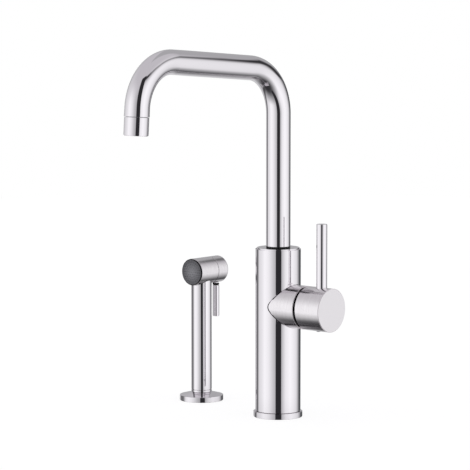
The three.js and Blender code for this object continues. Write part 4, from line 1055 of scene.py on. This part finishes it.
dark = add(tree, "ShaderNodeMix", {"data_type": "RGBA"},
           {"Factor": mottle.outputs["Fac"], 6: linear("#5E5E62"), 7: linear("#76767A")})
sheen_falloff = add(tree, "ShaderNodeMapRange",
            inputs={"Value": distance, "From Min": PALE_RADIUS * MM,
                    "From Max": DARK_RADIUS * MM})
tint = add(tree, "ShaderNodeMix", {"data_type": "RGBA"},
           {"Factor": sheen_falloff.outputs["Result"], 6: pale.outputs[2], 7: dark.outputs[2]})
# Painted shade: the lip is coloured near black for the shade in the ring round the face.
lip = add(tree, "ShaderNodeMapRange",
          inputs={"Value": distance, "From Min": (LIP_INNER + LIP_FADE) * MM,
                  "From Max": (LIP_INNER + 2 * LIP_FADE) * MM})
# Painted shade: below the face's floor, inside the nozzle bores, the colour is near black.
bore_shade_mask = add(tree, "ShaderNodeMath", {"operation": "LESS_THAN"},
           {0: parts["Z"], 1: (face_floor - BORE_SHADE_BELOW) * MM})
bored = add(tree, "ShaderNodeMix", {"data_type": "RGBA"},
            {"Factor": bore_shade_mask.outputs[0], 6: tint.outputs[2], 7: linear("#141416")})
lip_shade_blend = add(tree, "ShaderNodeMix", {"data_type": "RGBA"},
            {"Factor": lip.outputs["Result"], 6: bored.outputs[2], 7: linear("#303033")})
tree.links.new(lip_shade_blend.outputs[2], surface.inputs["Base Color"])
sheen = add(tree, "ShaderNodeMapRange",
            inputs={"Value": lip.outputs["Result"], "To Min": 0.36, "To Max": 0.12})
tree.links.new(sheen.outputs["Result"], surface.inputs["Roughness"])
bump = add(tree, "ShaderNodeBump",
           inputs={"Height": mottle.outputs["Fac"], "Distance": MOTTLE_DEPTH * MM,
                   "Strength": 0.5})
tree.links.new(bump.outputs["Normal"], surface.inputs["Normal"])
face_plate = revolved("silicone_spray_face", [
    (0, FACE_BOTTOM), (FACE_RADIUS, FACE_BOTTOM), (FACE_RADIUS, FACE_LIP),
    (FACE_RIM, FACE_LIP, 0.1), (FACE_RIM, FACE_TOP, 0.8), (LIP_INNER, FACE_TOP, 0.3),
    (LIP_INNER - LIP_SLOPE, face_floor), (0, face_floor)], AT_HEAD)

# Each nozzle is a small cone with a blind bore, whose inside the face's material paints dark as
# shade.
# The rings give their radius and how many nozzles stand on them.
NOZZLE_TOP = 0.35
NOZZLE_BORE_END = -0.35
NOZZLE_BORE = 0.42
NOZZLE_MOUTH = 0.46
NOZZLE_TIP = 0.62
NOZZLE_FOOT = 0.8
NOZZLE_SUNK = -0.1  # its foot lies this far inside the face
NOZZLE_END = -0.4
NOZZLE_STEPS = 12
NOZZLE_RINGS = ((0, 1), (2.9, 6), (5.7, 12), (8.5, 18), (11.2, 24))
nozzle = revolved("nozzle", [
    (0, NOZZLE_BORE_END), (NOZZLE_BORE, NOZZLE_BORE_END), (NOZZLE_MOUTH, NOZZLE_TOP),
    (NOZZLE_TIP, NOZZLE_TOP), (NOZZLE_FOOT, NOZZLE_SUNK), (0, NOZZLE_END)],
    segments=NOZZLE_STEPS)
shape = bmesh.new()
shape.from_mesh(face_plate.data)
for circle, count in NOZZLE_RINGS:
    for i in range(count):
        spin = 2 * math.pi * i / count
        mesh = nozzle.data.copy()
        mesh.transform(at(circle * math.cos(spin), circle * math.sin(spin), face_floor))
        shape.from_mesh(mesh)
        bpy.data.meshes.remove(mesh)
bpy.data.objects.remove(nozzle)
shape.to_mesh(face_plate.data)
shape.free()
smooth(face_plate)
fitted(face_plate, silicone, "handset", "spray_face")

# ------------------------------------------------------------------ trigger
# Chromed finger rod behind the handle. Its neck goes up through the slot to a boss on the pivot
# pin, and a rubber boot closes the neck below the head.
AT_TRIGGER = at(SPRAY_X, pivot_y, 0)
TRIGGER_RADIUS = 3.8
TRIGGER_NECK = 2.4
TRIGGER_BOTTOM = 94
TRIGGER_TOP = 129.4
BOSS_RADIUS = 3.4
BOSS_LENGTH = 6
trigger = revolved("chromed_trigger_rod", [
    (0, TRIGGER_BOTTOM), (TRIGGER_RADIUS, TRIGGER_BOTTOM, 0.35),
    (TRIGGER_RADIUS, TRIGGER_TOP, 0.25), (TRIGGER_NECK, TRIGGER_TOP), (TRIGGER_NECK, pivot_z),
    (0, pivot_z)], AT_TRIGGER, THIN_STEPS)
combined(trigger, "UNION",
         cross_pin(BOSS_RADIUS, BOSS_LENGTH, SPRAY_X, pivot_y, pivot_z, "Y"))
combined(trigger, "DIFFERENCE",
         cross_pin(PIN_HOLE, BOSS_LENGTH + 2 * OVERLAP, SPRAY_X, pivot_y, pivot_z, "Y"))
fitted(trigger, chrome, "trigger", "trigger_rod")
BOOT_BOTTOM = 129.7
BOOT_TOP = 132.2
boot = washer("rubber_trigger_boot", SLOT_RADIUS, TRIGGER_RADIUS, BOOT_BOTTOM, BOOT_TOP,
              (0.2, 0.5), AT_TRIGGER, THIN_STEPS)
fitted(boot, rubber, "trigger", "trigger_boot")

# ------------------------------------------------------------------ inner pieces
# The waterway, the cartridge, the seals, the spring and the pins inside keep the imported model's
# shapes. Each takes the finish of what it is made of. Cast zinc is dull, with a sandy skin.
SAND_SIZE = 0.8
SAND_DEPTH = 0.04
alloy, tree, surface, place = new_material(
    "cast_zinc_alloy", {"Base Color": linear("#A9ABAD"), "Metallic": 1, "Roughness": 0.5})
sand = add(tree, "ShaderNodeTexNoise", inputs={"Vector": place, "Scale": 1 / (SAND_SIZE * MM)})
bump = add(tree, "ShaderNodeBump",
           inputs={"Height": sand.outputs["Fac"], "Distance": SAND_DEPTH * MM, "Strength": 0.6})
tree.links.new(bump.outputs["Normal"], surface.inputs["Normal"])
INNER = {
    "waterway_block": brass, "cartridge_shell": white_acetal, "cartridge_nut": brass,
    "cartridge_spool": steel, "spool_seal": rubber, "tilt_pin": steel, "handle_adapter": alloy,
    "spout_shank": brass, "snap_ring": steel, "shank_seal_1": rubber, "shank_seal_2": rubber,
    "outlet_bush": steel, "aerator_gasket": rubber, "diverter_piston": white_acetal,
    "diverter_spring": steel, "swivel_bush": acetal, "head_core": acetal, "face_seal": rubber,
    "trigger_pivot_pin": steel, "valve_plunger": brass,
}
for name, material in INNER.items():
    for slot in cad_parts[name].material_slots:
        slot.material = material

# ------------------------------------------------------------------ sizes
# The box round the pieces that are shown, without the studio.
low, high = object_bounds()
